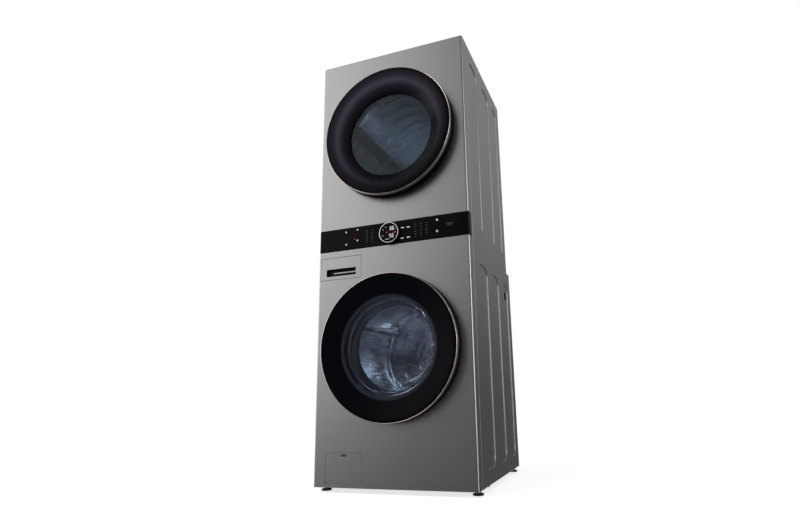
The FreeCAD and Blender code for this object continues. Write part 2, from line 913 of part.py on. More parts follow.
def make_washer_bowl():
    """Glass bowl that reaches through the gasket and keeps the load back."""
    body = new_body("washer_door_bowl", 0, front, s.washerAxis)
    wall, deep, mouth = s.bowlWall, s.bowlDepth, bowlEdge
    flange = -s.rimClear - s.frameWall - s.frameClear
    mid, low, base = mouth - s.bowlTaper, mouth - 2 * s.bowlTaper, mouth - s.bowlCrown
    turned(body, [
        (mouth + s.bowlSeat, flange - wall), (mouth + s.bowlSeat, flange), (mouth, flange), (mouth - wall, 0),
        (mid, deep / 2), (low, deep - 3 * wall), (base, deep), (0, deep), (0, deep - wall),
        (base, deep - wall), (low - wall, deep - 4 * wall), (mid - wall, deep / 2),
        (mouth - 2 * wall, 0), (mouth - wall, flange - wall),
    ])


def make_washer_inner_frame():
    body = new_body("washer_door_inner_frame", 0, front, s.washerAxis)
    outer = s.doorRadius - s.frameInset
    back, face = -s.rimClear, -s.rimClear - s.frameWall
    inner = bowlEdge + s.bowlClear
    turned(body, [
        (outer, back), (outer, face), (inner, face), (inner, 2 * s.frameWall),
        (inner + s.frameWall, 2 * s.frameWall), (inner + s.frameWall, back),
    ])
    hinge_slots(body, slot_reach())


def make_hinge_leaf(door, axis):
    """Plate on the door's inner frame with a knuckle each side of both fixed arms, and the pins."""
    face = -s.rimClear - s.frameWall - s.frameClear
    arm = s.armHeight / 2 + s.knuckleGap
    web = -(s.hingeX - s.barrelRadius - s.knuckleGap)
    far = s.hingeRise + arm + s.knuckle
    plate = box((web, web + s.bracketWidth), (face - s.bracketWall, face), (axis - far, axis + far))
    parts = [plate]
    pivot = s.hingeOut
    for rise in (s.hingeRise, -s.hingeRise):
        for side in (1, -1):
            ends = (arm, arm + s.knuckle) if side > 0 else (-arm - s.knuckle, -arm)
            span = (axis + rise + ends[0], axis + rise + ends[1])
            parts.append(box((-s.hingeX - s.knuckle / 2, web + s.bracketWall),
                             (-pivot - s.knuckle, -pivot + s.knuckle), span))
            parts.append(box((web, web + s.bracketWall), (-pivot, face), span))
        parts.append(rod(-s.hingeX, -pivot, (axis + rise - arm - s.knuckle, axis + rise + arm + s.knuckle),
                         s.pinRadius, "z"))
    keep(fused(parts), door + "_hinge_leaf")


def make_hinge_brackets():
    """Four fixed arms: a plate behind the front panel and an arm out to each pivot."""
    parts = []
    back = s.sheetWall + s.frameClear
    for axis in (s.washerAxis, s.dryerAxis):
        for rise in (s.hingeRise, -s.hingeRise):
            middle = axis + rise
            span = (middle - s.armHeight / 2, middle + s.armHeight / 2)
            left = -s.hingeX - s.bracketWidth / 2
            plate = box((left, left + s.bracketWidth), (back, back + s.bracketWall),
                        (middle - s.hingeRise + s.knuckleGap, middle + s.hingeRise - s.knuckleGap))
            arm = box((-s.hingeX - s.armWall / 2, -s.hingeX + s.armWall / 2), (-s.hingeOut, back), span)
            barrel = rod(-s.hingeX, -s.hingeOut, span, s.barrelRadius, "z")
            pin = rod(-s.hingeX, -s.hingeOut, span, s.pinRadius + s.runGap, "z")
            parts.append(minus(fused([plate, arm, barrel]), [pin]))
    keep(fused(parts), "door_hinge_brackets")


def make_latch_hook(door, axis):
    face = -s.rimClear - s.frameWall - s.frameClear
    wide, tall = s.latchWidth / 2, s.latchHeight / 2
    shank = box((s.latchX - wide, s.latchX + wide / 2), (face - s.frameWall, s.latchReach),
                (axis - tall, axis + tall))
    nose = box((s.latchX - wide, s.latchX + wide), (s.latchReach - s.latchWidth / 2, s.latchReach),
               (axis - tall, axis + tall))
    foot = box((s.latchX - 2 * wide, s.latchX + 2 * wide), (face - s.frameWall, face),
               (axis - 2 * tall, axis + 2 * tall))
    keep(fused([shank, nose, foot]), door + "_latch_hook")


def latch_hole(body):
    """The hook's shank passes through the door's inner frame."""
    wide, tall = s.latchWidth / 2 + s.frameClear, s.latchHeight / 2 + s.frameClear
    cut(body, "XZ", [rectangle(s.latchX - wide, -tall, s.latchX + wide, tall)],
        -s.rimClear - s.frameWall - s.panelGap, -s.rimClear + s.panelGap)


def make_latch_units():
    parts = []
    wall = s.rimWall
    for axis in (s.washerAxis, s.dryerAxis):
        wide = s.latchWidth / 2 + s.latchRoom
        tall = s.latchHeight / 2 + s.latchRoom
        start = s.sheetWall + s.frameClear
        shell = box((s.latchX - wide - wall, s.latchX + wide + wall), (start, start + s.latchDepth),
                    (axis - tall - wall, axis + tall + wall))
        room = box((s.latchX - wide, s.latchX + wide), (start - wall, start + s.latchDepth - wall),
                   (axis - tall, axis + tall))
        parts.append(minus(shell, [room]))
    keep(fused(parts), "door_latch_units")


# ---------------------------------------------------------------- washer

def make_tub():
    wall, outer = s.tubWall, s.tubRadius
    shell = new_body("tub_front", 0, front, s.washerAxis)
    turned(shell, [
        (s.tubMouth, s.tubFront), (outer, s.tubFront), (outer, s.tubSplit - s.frameClear),
        (outer - wall, s.tubSplit - s.frameClear), (outer - wall, s.tubFront + wall),
        (s.tubMouth, s.tubFront + wall),
    ])
    bore = s.shaftRadius + s.runGap
    hub_rear = s.tubRear + 2 * wall - s.sheetWall
    cup = new_body("tub_rear", 0, front, s.washerAxis)
    turned(cup, [
        (outer, s.tubSplit), (outer, s.tubRear), (s.bearingHub, s.tubRear), (s.bearingHub, hub_rear),
        (bore, hub_rear), (bore, hub_rear - s.bearingDepth), (s.bearingHub, hub_rear - s.bearingDepth),
        (s.bearingHub, s.tubRear - wall), (outer - wall, s.tubRear - wall), (outer - wall, s.tubSplit),
    ])


def make_wash_drum():
    wall, outer = s.drumWall, s.drumRadius
    drum = new_body("wash_drum", 0, front, s.washerAxis)
    turned(drum, [
        (s.tubMouth, s.drumFront), (outer, s.drumFront), (outer, s.drumRear), (0, s.drumRear),
        (0, s.drumRear - wall), (outer - wall, s.drumRear - wall), (outer - wall, s.drumFront + wall),
        (s.tubMouth, s.drumFront + wall),
    ])


def make_ribs(name, axis, inner, base, tip, height, start, end):
    """Three ribs inside a drum, seated just inside its wall."""
    body = new_body(name, 0, front, axis)
    seat = other_leg(inner - s.frameClear, base / 2)
    rib = slab(body, "XZ", [[
        (-base / 2, -seat), (base / 2, -seat), (tip / 2, -seat + height), (-tip / 2, -seat + height),
    ]], start, end)
    around(body, rib, lifterCount)


def make_spider():
    """Three-armed casting bolted to the rear of the drum, with the drive shaft."""
    body = new_body("wash_drum_spider", 0, front, s.washerAxis)
    start = s.drumRear + s.frameClear
    end = start + s.spiderWall
    turned(body, [
        (0, start), (s.spiderHub, start), (s.spiderHub, end), (s.shaftRadius, end),
        (s.shaftRadius, s.shaftEnd), (0, s.shaftEnd),
    ])
    reach = s.drumRadius - s.tubWall
    arm = slab(body, "XZ", [rectangle(-s.spiderArm / 2, -reach, s.spiderArm / 2, 0)], start, end)
    around(body, arm, spiderArms)


def make_rotor():
    body = new_body("motor_rotor", 0, front, s.washerAxis)
    wall, bore = s.rotorWall, s.shaftRadius + s.frameClear
    turned(body, [
        (bore, s.rotorRear), (s.rotorRadius, s.rotorRear), (s.rotorRadius, s.rotorFront),
        (s.rotorRadius - wall, s.rotorFront), (s.rotorRadius - wall, s.rotorRear - wall),
        (bore, s.rotorRear - wall),
    ])


def make_gasket():
    """Bellows from the edge of the front panel to the mouth of the tub, with an inner lip."""
    body = new_body("door_gasket", 0, front, s.washerAxis)
    out, wall = s.panelHole - s.gasketInset, s.gasketWall
    lip = out - s.gasketReach
    start, end = s.sheetWall + s.frameClear, s.tubFront
    middle = (start + end) / 2
    fold = s.gasketFold
    turned(body, [
        (out - wall, start), (out + 2 * wall, start), (out + 2 * wall, start + wall), (out, start + wall),
        (out, middle - fold), (out + fold, middle), (out, middle + fold), (out, end - wall / 2),
        (lip + wall, end), (lip, end - wall), (lip + wall / 2, end - 1.5 * wall),
        (lip + 2 * wall, end - wall), (out - wall, end - 1.5 * wall), (out - wall, middle + fold),
        (out - wall + fold, middle), (out - wall, middle - fold),
    ])


def make_suspension():
    lowest = s.washerAxis + other_leg(s.tubRadius, s.springX - s.springRadius) + s.panelGap
    highest = s.deckLevel - s.frameClear
    springs = []
    for side in (-1, 1):
        x = side * s.springX
        coil = rod(x, s.springDepth, (lowest, highest), s.springRadius, "z")
        core = rod(x, s.springDepth, (lowest, highest), s.springRadius - s.springWall, "z")
        springs.append(minus(coil, [core]))
    keep(fused(springs), "suspension_springs")
    floor = s.footHeight + s.baseWall + s.frameClear
    crown = floor + s.damperHeight
    touch = s.washerAxis - other_leg(s.tubRadius, s.damperX - s.damperRod) - s.frameClear
    tubes, rods = [], []
    for side in (-1, 1):
        for depth in (s.damperFront, s.damperRear):
            x = side * s.damperX
            tube = rod(x, depth, (floor, crown), s.damperRadius, "z")
            bore = rod(x, depth, (floor + s.baseWall, crown), s.damperRod + s.runGap, "z")
            tubes.append(minus(tube, [bore]))
            rods.append(rod(x, depth, (crown - s.rodOverlap, touch), s.damperRod, "z"))
    keep(fused(tubes), "damper_cylinders")
    keep(fused(rods), "damper_rods")


def make_dispenser():
    gap, wall = s.panelGap, s.trayWall
    left, right = s.drawerLeft + gap, s.drawerRight - gap
    start = s.drawerFace + 2 * gap
    shell = box((left, right), (start, s.housingEnd), (s.housingLow, s.housingHigh))
    room = box((left + wall, right - wall), (start - wall, s.housingEnd - wall),
               (s.housingLow + wall, s.housingHigh - wall))
    keep(minus(shell, [room]), "dispenser_housing")

    face = new_body("drawer_front")
    slab(face, "XZ", [rectangle(s.drawerLeft, s.drawerLow, s.drawerRight, s.drawerHigh)], 0, s.drawerFace)
    cut(face, "XZ", [rectangle(s.pullLeft, s.pullLow, s.pullRight, s.pullHigh)], -gap, s.pullDepth)
    slab(face, "XZ", [rectangle(s.pullBarLeft, s.pullBarLow, s.pullRight, s.pullBarHigh)],
         2 * gap, s.pullDepth)

    tray_left, tray_right = left + wall + 3 * gap, right - wall - 3 * gap
    tray_low = s.drawerLow + gap
    outer = box((tray_left, tray_right), (s.drawerFace, s.trayEnd), (tray_low, s.trayHigh))
    cells = [
        box((tray_left + wall, s.traySplit), (s.drawerFace + wall, s.trayEnd - wall),
            (tray_low + wall, s.trayHigh + gap)),
        box((s.traySplit + wall, tray_right - wall), (s.drawerFace + wall, s.trayEnd - wall),
            (tray_low + wall, s.trayHigh + gap)),
    ]
    keep(minus(outer, cells), "drawer_tray")


def make_pump():
    x, level = s.pumpX, s.pumpLevel
    outside = s.washerDepth + s.frameClear
    end = s.washerDepth + s.hoseStub
    casing = rod(x, (s.pumpFront, s.pumpRear), level, s.pumpRadius, "y")
    pipe = rod(x, (s.pumpRear - s.rimWall, end), level, s.drainRadius - s.neckStep, "y")
    spigot = rod(x, (outside, end), level, s.drainRadius, "y")
    room = rod(x, (s.pumpFront, s.pumpFront + s.pumpRadius), level, s.capThread + s.frameClear, "y")
    bore = rod(x, (s.pumpFront, end), level, s.drainRadius - 2 * s.neckStep, "y")
    keep(minus(fused([casing, pipe, spigot]), [room, bore]), "drain_pump")

    cap = new_body("pump_filter_cap", x, front, level)
    turned(cap, [
        (0, s.capStart + s.capBar), (s.capRadius, s.capStart + s.capBar), (s.capRadius, s.capEnd),
        (s.capThread, s.capEnd), (s.capThread, s.capEnd + s.capThread), (0, s.capEnd + s.capThread),
    ])
    bar, reach = s.capBar / 2, s.capThread
    slab(cap, "XZ", [rectangle(-reach, -bar, reach, bar)], s.capStart, s.capStart + s.capBar)


def make_flap():
    """Service flap with a rolled lower edge that is its hinge barrel."""
    body = new_body("filter_flap")
    roll = s.flapWall / 2
    pivot = s.flapLow + roll
    slab(body, "XZ", [rounded(s.flapLeft, pivot, s.flapRight, s.flapHigh, s.flapRound)], 0, s.flapWall)
    slab(body, "YZ", [(roll, pivot, roll)], s.flapLeft + s.flapRound, s.flapRight - s.flapRound)
    round_in = (s.notchHigh - s.notchLow) / 3
    cut(body, "XZ", [rounded(s.notchLeft, s.notchLow, s.notchRight, s.notchHigh, round_in)],
        -s.panelGap, s.flapWall / 2)


def make_valves():
    parts = []
    inside = s.washerDepth - s.sheetWall - s.frameClear
    for side in (-1, 1):
        x = s.valveX + side * s.valvePitch / 2
        wide, tall = s.valveWidth / 2, s.valveHeight / 2
        parts.append(box((x - wide, x + wide), (inside - s.valveDepth, inside),
                         (s.valveLevel - tall, s.valveLevel + tall)))
        end = s.washerDepth + s.hoseStub
        parts.append(rod(x, (inside - s.valveDepth, end), s.valveLevel, s.valveThread - s.neckStep, "y"))
        parts.append(rod(x, (s.washerDepth + s.frameClear, end), s.valveLevel, s.valveThread, "y"))
    keep(fused(parts), "inlet_valves")


# ---------------------------------------------------------------- dryer

def roller_level():
    reach = s.dryDrumRadius + s.rollerRadius + s.rollerGap
    return s.dryerAxis - other_leg(reach, s.rollerX)


def make_bulkheads():
    side, wall = half - s.bulkheadInset, s.sheetWall
    high = top - s.deckRim - s.frameClear
    axle = s.axleRadius
    axles = [(x * s.rollerX, roller_level(), axle) for x in (-1, 1)]
    seal = s.dryDrumRadius - s.dryDrumLip
    ring = [(as_size(0), s.dryerAxis, seal + s.sealWall), (as_size(0), s.dryerAxis, seal)]

    shield = new_body("dryer_front_bulkhead")
    slab(shield, "XZ", [rectangle(-side, s.frontBulkheadLow, side, high),
                        (as_size(0), s.dryerAxis, s.bulkheadMouth)], s.frontBulkhead, s.frontBulkhead + wall)
    slab(shield, "XZ", ring, s.frontBulkhead + wall, s.dryDrumFront - s.sealClear)
    slab(shield, "XZ", axles, s.frontBulkhead + wall, s.rollerFront + s.rollerWidth)

    rear = new_body("dryer_rear_bulkhead")
    duct = (s.ductX, s.ductLevel, s.ductRadius + s.wallClear)
    slab(rear, "XZ", [rectangle(-side, s.rearBulkheadLow, side, high),
                      (s.driveX, s.driveLevel, s.motorRadius), duct],
         s.rearBulkhead, s.rearBulkhead + wall)
    slab(rear, "XZ", ring, s.dryDrumRear + s.sealClear, s.rearBulkhead)
    slab(rear, "XZ", axles, s.rollerRear, s.rearBulkhead)
    holes = []
    for index in range(airHoles):
        angle = math.radians(360 / airHoles * index)
        holes.append((s.airRingRadius * math.cos(angle), s.dryerAxis + s.airRingRadius * math.sin(angle),
                      s.airHoleRadius))
    cut(rear, "XZ", holes, s.rearBulkhead - s.panelGap, s.rearBulkhead + wall + s.panelGap)


def make_dryer_drum():
    body = new_body("dryer_drum", 0, front, s.dryerAxis)
    wall, outer, lip = s.drumWall, s.dryDrumRadius, s.dryDrumRadius - s.dryDrumLip
    turned(body, [
        (lip, s.dryDrumFront), (outer, s.dryDrumFront), (outer, s.dryDrumRear), (lip, s.dryDrumRear),
        (lip, s.dryDrumRear - wall), (outer - wall, s.dryDrumRear - wall),
        (outer - wall, s.dryDrumFront + wall), (lip, s.dryDrumFront + wall),
    ])


def make_rollers():
    for name, side in (("support_roller_left", -1), ("support_roller_right", 1)):
        body = new_body(name, side * s.rollerX, front, roller_level())
        wheel = [(as_size(0), as_size(0), s.rollerRadius), (as_size(0), as_size(0), s.axleRadius + s.runGap)]
        slab(body, "XZ", wheel, s.rollerFront, s.rollerFront + s.rollerWidth)
        slab(body, "XZ", wheel, s.rollerRear, s.rollerRear + s.rollerWidth)


def make_lint_filter():
    body = new_body("lint_filter")
    wide, wall = s.filterWidth / 2, s.filterWall
    slab(body, "XZ", [rectangle(-wide, s.filterLow, wide, s.filterHigh)], s.filterFront, s.filterFront + wall)
    cut(body, "XZ", [rectangle(-wide + wall, s.filterLow + wall, wide - wall, s.filterHigh - 3 * wall)],
        s.filterFront - s.panelGap, s.filterFront + wall - s.bladeWall)


def make_motor():
    x, level = s.driveX, s.driveLevel
    can = rod(x, (s.motorFront, s.motorRear), level, s.motorRadius, "y")
    foot = box((x - s.motorFoot / 2, x + s.motorFoot / 2),
               (s.motorFront + s.motorShaft, s.motorRear - s.motorShaft),
               (deckTop, level - s.motorRadius / 2))
    bore = rod(x, (s.motorFront, s.motorRear), level, s.motorShaft + s.runGap, "y")
    keep(minus(fused([can, foot]), [bore]), "dryer_motor")

    spindle = rod(x, (s.shaftStart, s.shaftStop), level, s.motorShaft, "y")
    pulley = rod(x, (s.pulleyFront, s.pulleyRear), level, s.pulleyRadius, "y")
    keep(fused([spindle, pulley]), "motor_shaft")

    wheel = new_body("blower_wheel", x, front, level)
    wall, bore_radius = s.bladeWall, s.motorShaft + s.frameClear
    turned(wheel, [
        (bore_radius, s.shaftStart + wall), (s.wheelHub, s.shaftStart + wall),
        (s.wheelHub, s.wheelRear - wall), (s.wheelRadius, s.wheelRear - wall),
        (s.wheelRadius, s.wheelRear), (bore_radius, s.wheelRear),
    ])
    blade = slab(wheel, "XZ", [rectangle(s.wheelHub - wall, -wall / 2, s.wheelRadius - wall, wall / 2)],
                 s.wheelFront, s.wheelRear - wall)
    around(wheel, blade, bladeCount)


def make_blower_housing():
    """Scroll around the blower wheel, its outlet box and the exhaust pipe to the rear."""
    x, level, wall = s.driveX, s.driveLevel, s.blowerWall
    front_face, rear_face = s.blowerFront, s.blowerRear
    outlet = s.ductRadius + s.ductWall
    shell = [
        rod(x, (front_face, rear_face), level, s.blowerRadius, "y"),
        box((s.ductX - outlet, x), (front_face, rear_face), (s.ductLevel - outlet, s.ductLevel + outlet)),
        rod(s.ductX, (rear_face - wall, s.ductEnd), s.ductLevel, s.ductRadius - s.neckStep, "y"),
        rod(s.ductX, (s.dryerDepth + s.frameClear, s.ductEnd), s.ductLevel, s.ductRadius, "y"),
    ]
    room = [
        rod(x, (front_face + wall, rear_face - wall), level, s.blowerRadius - wall, "y"),
        box((s.ductX - outlet + wall, x), (front_face + wall, rear_face - wall),
            (s.ductLevel - outlet + wall, s.ductLevel + outlet - wall)),
        rod(s.ductX, (rear_face - 2 * wall, s.ductEnd), s.ductLevel,
            s.ductRadius - s.neckStep - s.ductWall, "y"),
        rod(x, (front_face, front_face + 2 * wall), level, s.blowerInlet, "y"),
        rod(x, (rear_face - 2 * wall, rear_face), level, s.motorShaft + wall, "y"),
    ]
    keep(minus(fused(shell), room), "blower_housing")


def belt_face(extra):
    """Outline of a loop that wraps two pulleys, standing off both by the same amount."""
    big = s.dryDrumRadius.value + s.beltGap.value + extra
    small = s.pulleyRadius.value + s.beltGap.value + extra
    upper = Vector(0, 0, s.dryerAxis.value)
    lower = Vector(s.driveX.value, 0, s.driveLevel.value)
    along = lower - upper
    distance = along.Length
    along.normalize()
    across = Vector(along.z, 0, -along.x)
    lean = math.acos((big - small) / distance)

    def on(centre, radius, angle):
        return centre + (along * math.cos(angle) + across * math.sin(angle)) * radius

    edges = [
        Part.Arc(on(upper, big, lean), on(upper, big, math.pi), on(upper, big, -lean)).toShape(),
        Part.LineSegment(on(upper, big, -lean), on(lower, small, -lean)).toShape(),
        Part.Arc(on(lower, small, -lean), on(lower, small, 0), on(lower, small, lean)).toShape(),
        Part.LineSegment(on(lower, small, lean), on(upper, big, lean)).toShape(),
    ]
    return Part.Face(Part.Wire(edges))


def make_belt():
    """A flat belt round the drum and the motor pulley: no primitive has this tangent loop."""
    band = Vector(0, (s.beltRear - s.beltFront).value, 0)
    loop = belt_face(s.beltWall.value).extrude(band).cut(belt_face(0).extrude(band))
    belt = keep(doc.addObject("Part::Feature", "drive_belt"), "drive_belt")
    belt.Shape = loop
    put(belt, 0, front + s.beltFront, 0)


def make_heater():
    wide, wall = s.heaterWidth / 2, s.deckWall
    start = s.rearBulkhead + s.sheetWall + s.frameClear
    shell = box((-wide, wide), (start, start + s.heaterDepth), (s.heaterLow, s.heaterHigh))
    room = box((-wide + wall, wide - wall), (start - wall, start + s.heaterDepth - wall),
               (s.heaterLow + wall, s.heaterHigh - wall))
    keep(minus(shell, [room]), "heater_housing")


def make_terminal():
    """Supply terminal cover on the rear wall with a cable gland that faces backwards."""
    wide, tall = s.terminalWidth / 2, s.terminalHeight / 2
    start = s.dryerDepth + s.frameClear
    face = start + s.terminalDepth
    cover = box((s.terminalX - wide, s.terminalX + wide), (start, face),
                (s.terminalLevel - tall, s.terminalLevel + tall))
    gland = rod(s.terminalX, (face, face + s.glandLength), s.terminalLevel, s.glandRadius, "y")
    bore = rod(s.terminalX, (face - s.glandLength, face + s.glandLength), s.terminalLevel, s.glandBore, "y")
    keep(minus(fused([cover, gland]), [bore]), "power_terminal_block")


# ---------------------------------------------------------------- assembly

make_base()
make_washer_cabinet()
make_dryer_cabinet()
make_washer_front()
make_dryer_front()
make_deck()
make_top()
make_feet()
make_control_panel()
make_dial()
make_hinge_brackets()
make_latch_units()
make_terminal()

make_dryer_cover()
make_dryer_window()
make_dryer_inner_frame()
make_washer_rim()
make_washer_glass()
make_washer_bowl()
make_washer_inner_frame()
for door, axis in (("dryer_door", s.dryerAxis), ("washer_door", s.washerAxis)):
    make_trim_ring(door, axis)
    make_hinge_leaf(door, axis)
    make_latch_hook(door, axis)
for body in pieces:
    if body.Label in ("dryer_door_inner_frame", "washer_door_inner_frame"):
        latch_hole(body)

make_tub()
make_wash_drum()
make_ribs("wash_drum_lifters", s.washerAxis, s.drumRadius - s.drumWall, s.lifterBase, s.lifterTip,
          s.lifterHeight, s.drumFront + s.lifterInset, s.drumRear - s.lifterInset)
make_spider()
make_rotor()
make_gasket()
make_suspension()
make_dispenser()
make_pump()
make_flap()
make_valves()

make_bulkheads()
make_dryer_drum()
make_ribs("dryer_baffles", s.dryerAxis, s.dryDrumRadius - s.drumWall, s.baffleBase, s.baffleTip,
          s.baffleHeight, s.dryDrumFront + s.baffleInset, s.dryDrumRear - s.baffleInset)
make_rollers()
make_lint_filter()
make_motor()
make_blower_housing()
make_belt()
make_heater()

doc.recompute()

faults = []
for item in doc.Objects:
    if "Invalid" in item.State or "Error" in item.State:
        faults.append(f"{item.Name} ({item.Label}): {item.State}")
for piece in pieces:
    if piece.Shape.isNull() or not piece.Shape.isValid() or not piece.Shape.Solids:
        faults.append(f"{piece.Label} has no valid solid")
for pocket in cuts:
    if pocket.Shape.Volume >= pocket.BaseFeature.Shape.Volume:
        faults.append(f"{pocket.Name} cuts nothing")
if faults:
    raise RuntimeError("\n".join(faults))

os.makedirs("parts", exist_ok=True)
for piece in pieces:
    piece.Shape.exportStep(os.path.join("parts", piece.Label + ".step"))
print(len(pieces), "parts written")
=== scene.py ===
import math
import bpy
from mathutils import Matrix, Vector


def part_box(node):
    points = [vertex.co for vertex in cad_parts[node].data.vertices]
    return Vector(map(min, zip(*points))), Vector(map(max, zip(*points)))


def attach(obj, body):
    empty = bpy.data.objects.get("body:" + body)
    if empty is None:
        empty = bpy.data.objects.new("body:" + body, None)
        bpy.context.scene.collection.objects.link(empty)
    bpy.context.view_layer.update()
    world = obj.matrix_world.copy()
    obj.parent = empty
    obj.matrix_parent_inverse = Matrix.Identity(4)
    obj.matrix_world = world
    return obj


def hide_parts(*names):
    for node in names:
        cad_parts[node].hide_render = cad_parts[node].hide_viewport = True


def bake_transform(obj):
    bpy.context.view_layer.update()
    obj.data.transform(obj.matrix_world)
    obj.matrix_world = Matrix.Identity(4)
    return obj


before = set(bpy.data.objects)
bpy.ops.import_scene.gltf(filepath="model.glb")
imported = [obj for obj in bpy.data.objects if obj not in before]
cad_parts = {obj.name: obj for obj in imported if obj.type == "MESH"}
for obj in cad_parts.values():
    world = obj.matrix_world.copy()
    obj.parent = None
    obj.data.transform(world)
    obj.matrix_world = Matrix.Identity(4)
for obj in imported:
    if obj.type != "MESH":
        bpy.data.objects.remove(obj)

bpy.ops.object.select_all(action="DESELECT")

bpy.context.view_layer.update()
mm = 0.001

# where the machine's main lines lie, read from the frame
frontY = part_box("washer_front_panel")[0].y
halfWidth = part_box("top_cover")[1].x


def middleOf(node):
    low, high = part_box(node)
    return (low + high) / 2


washerAxis = Vector((0, frontY, middleOf("washer_door_trim_ring").z))
dryerAxis = Vector((0, frontY, middleOf("dryer_door_trim_ring").z))


# camera
cameraSettings = {
    "place": (0.886, frontY - 1.8733, 0.3599),
    "turn": 18.689,  # degrees to the left
    "tilt": 12.95,  # degrees up
    "roll": -1.688,
    "lens": 23.126,
    "shiftX": -0.0612,
    "shiftY": 0.0146,
}


def addCamera():
    c = cameraSettings
    turn, tilt, roll = (math.radians(c[k]) for k in ("turn", "tilt", "roll"))
    forward = Vector((-math.sin(turn) * math.cos(tilt), math.cos(turn) * math.cos(tilt), math.sin(tilt)))
    side = Vector((math.cos(turn), math.sin(turn), 0))
    above = side.cross(forward)
    right = math.cos(roll) * side + math.sin(roll) * above
    up = -math.sin(roll) * side + math.cos(roll) * above
    bpy.ops.object.camera_add(location=c["place"])
    camera = bpy.context.object
    camera.rotation_euler = Matrix((right, up, -forward)).transposed().to_euler()
    camera.data.lens = c["lens"]
    camera.data.shift_x = c["shiftX"]
    camera.data.shift_y = c["shiftY"]
    camera.data.clip_end = 50
    bpy.context.scene.camera = camera


# studio
studioSettings = {
    # direction of each soft glow, where it starts and is full, and its strength
    "glows": [
        ((-0.80, -0.52, 0.44), 0.75, 0.96, 1.72),
        ((-0.98, -0.16, 0.06), 0.90, 0.99, 2.0),
        ((-0.15, -0.10, 1.0), 0.60, 1.0, 0.25),
        ((0.96, -0.24, 0.20), 0.88, 0.98, 3.5),
        ((0.20, 0.75, 0.75), 0.70, 1.0, 0.34),
    ],
    "dark": (0.115, 0.115, 0.122, 1),
    "backdrop": (1.0, 1.0, 1.0, 1),
    "floorColour": (0.55, 0.55, 0.55, 1),
    "floorGlow": 0.72,
    "floorRoughness": 0.8,
    "floorSize": 12.0,
}


def addStudio():
    s = studioSettings
    world = bpy.data.worlds.new("studio")
    bpy.context.scene.world = world
    world.use_nodes = True
    nodes, links = world.node_tree.nodes, world.node_tree.links
    nodes.clear()
    coords = nodes.new("ShaderNodeTexCoord")
    total = None
    for direction, start, full, strength in s["glows"]:
        towards = nodes.new("ShaderNodeVectorMath")
        towards.operation = "DOT_PRODUCT"
        towards.inputs[1].default_value = Vector(direction).normalized()
        glow = nodes.new("ShaderNodeMapRange")
        glow.interpolation_type = "SMOOTHSTEP"
        glow.inputs["From Min"].default_value = start
        glow.inputs["From Max"].default_value = full
        glow.inputs["To Max"].default_value = strength
        link(coords, "Generated", towards, 0)
        link(towards, "Value", glow, "Value")
        if total is None:
            total = glow
            continue
        added = nodes.new("ShaderNodeMath")
        added.operation = "ADD"
        link(total, 0, added, 0)
        link(glow, 0, added, 1)
        total = added
    tint = nodes.new("ShaderNodeMix")
    tint.data_type = "RGBA"
    tint.blend_type = "ADD"
    tint.inputs["Factor"].default_value = 1.0
    around = nodes.new("ShaderNodeBackground")
    plain = nodes.new("ShaderNodeBackground")
    plain.inputs["Color"].default_value = s["backdrop"]
    path = nodes.new("ShaderNodeLightPath")
    mix = nodes.new("ShaderNodeMixShader")
    out = nodes.new("ShaderNodeOutputWorld")
    base, added, blended = colourSockets(tint)
    base.default_value = s["dark"]
    links.new(total.outputs[0], added)
    links.new(blended, around.inputs["Color"])
    link(path, "Is Camera Ray", mix, "Fac")
    link(around, "Background", mix, 1)
    link(plain, "Background", mix, 2)
    link(mix, "Shader", out, "Surface")

    bpy.ops.mesh.primitive_plane_add(size=s["floorSize"], location=(0, 0, 0))
    floor = bpy.context.object
    floor.name = "studioFloor"
    floor.data.materials.append(newMaterial("studioFloor", {
        "Base Color": s["floorColour"], "Roughness": s["floorRoughness"],
        "Emission Color": s["backdrop"], "Emission Strength": s["floorGlow"]}))
    floor.visible_glossy = False
    bpy.context.scene.view_settings.view_transform = "Standard"


lightSettings = [
    # name, place, aim, size, watts
    ("keyLight", (-2.6, -2.6, 2.9), (0, -0.3, 1.2), 1.6, 60),
    ("topSoft", (0.2, -0.6, 3.4), (0, 0, 1.5), 1.8, 25),
]

drumLamps = [
    # name, place, watts; both stand inside a drum
    ("washerGlow", washerAxis + Vector((0.04, 0.20, 0.15)), 0.75),
    ("dryerGlow", dryerAxis + Vector((0.10, 0.36, -0.02)), 0.7),
]
lampColour = (0.72, 0.86, 1.0)
lampSize = 0.03


def addLights():
    for name, place, aim, size, watts in lightSettings:
        bpy.ops.object.light_add(type="AREA", location=place)
        light = bpy.context.object
        light.name = name
        light.data.size = size
        light.data.energy = watts
        light.visible_glossy = False
        away = Vector(place) - Vector(aim)
        light.rotation_euler = away.to_track_quat("Z", "Y").to_euler()
    for name, place, watts in drumLamps:
        bpy.ops.object.light_add(type="POINT", location=place)
        lamp = bpy.context.object
        lamp.name = name
        lamp.data.energy = watts
        lamp.data.color = lampColour
        lamp.data.shadow_soft_size = lampSize
        lamp.visible_glossy = name == "washerGlow"
        lamp.visible_transmission = False


# materials
def shaderOf(material):
    return material.node_tree.nodes["Principled BSDF"]


def link(source, output, target, entry):
    source.id_data.links.new(source.outputs[output], target.inputs[entry])


# the two colour inputs of a colour mix node, and its colour output
def colourSockets(mix):
    first, second = [socket for socket in mix.inputs if socket.type == "RGBA"]
    return first, second, [socket for socket in mix.outputs if socket.type == "RGBA"][0]


def newMaterial(name, constants):
    material = bpy.data.materials.new(name)
    material.use_nodes = True
    for socket, value in constants.items():
        shaderOf(material).inputs[socket].default_value = value
    return material


grainRange = (0.3, 0.7)
grainHeight = 0.2 * mm
grainDetail = 4.0


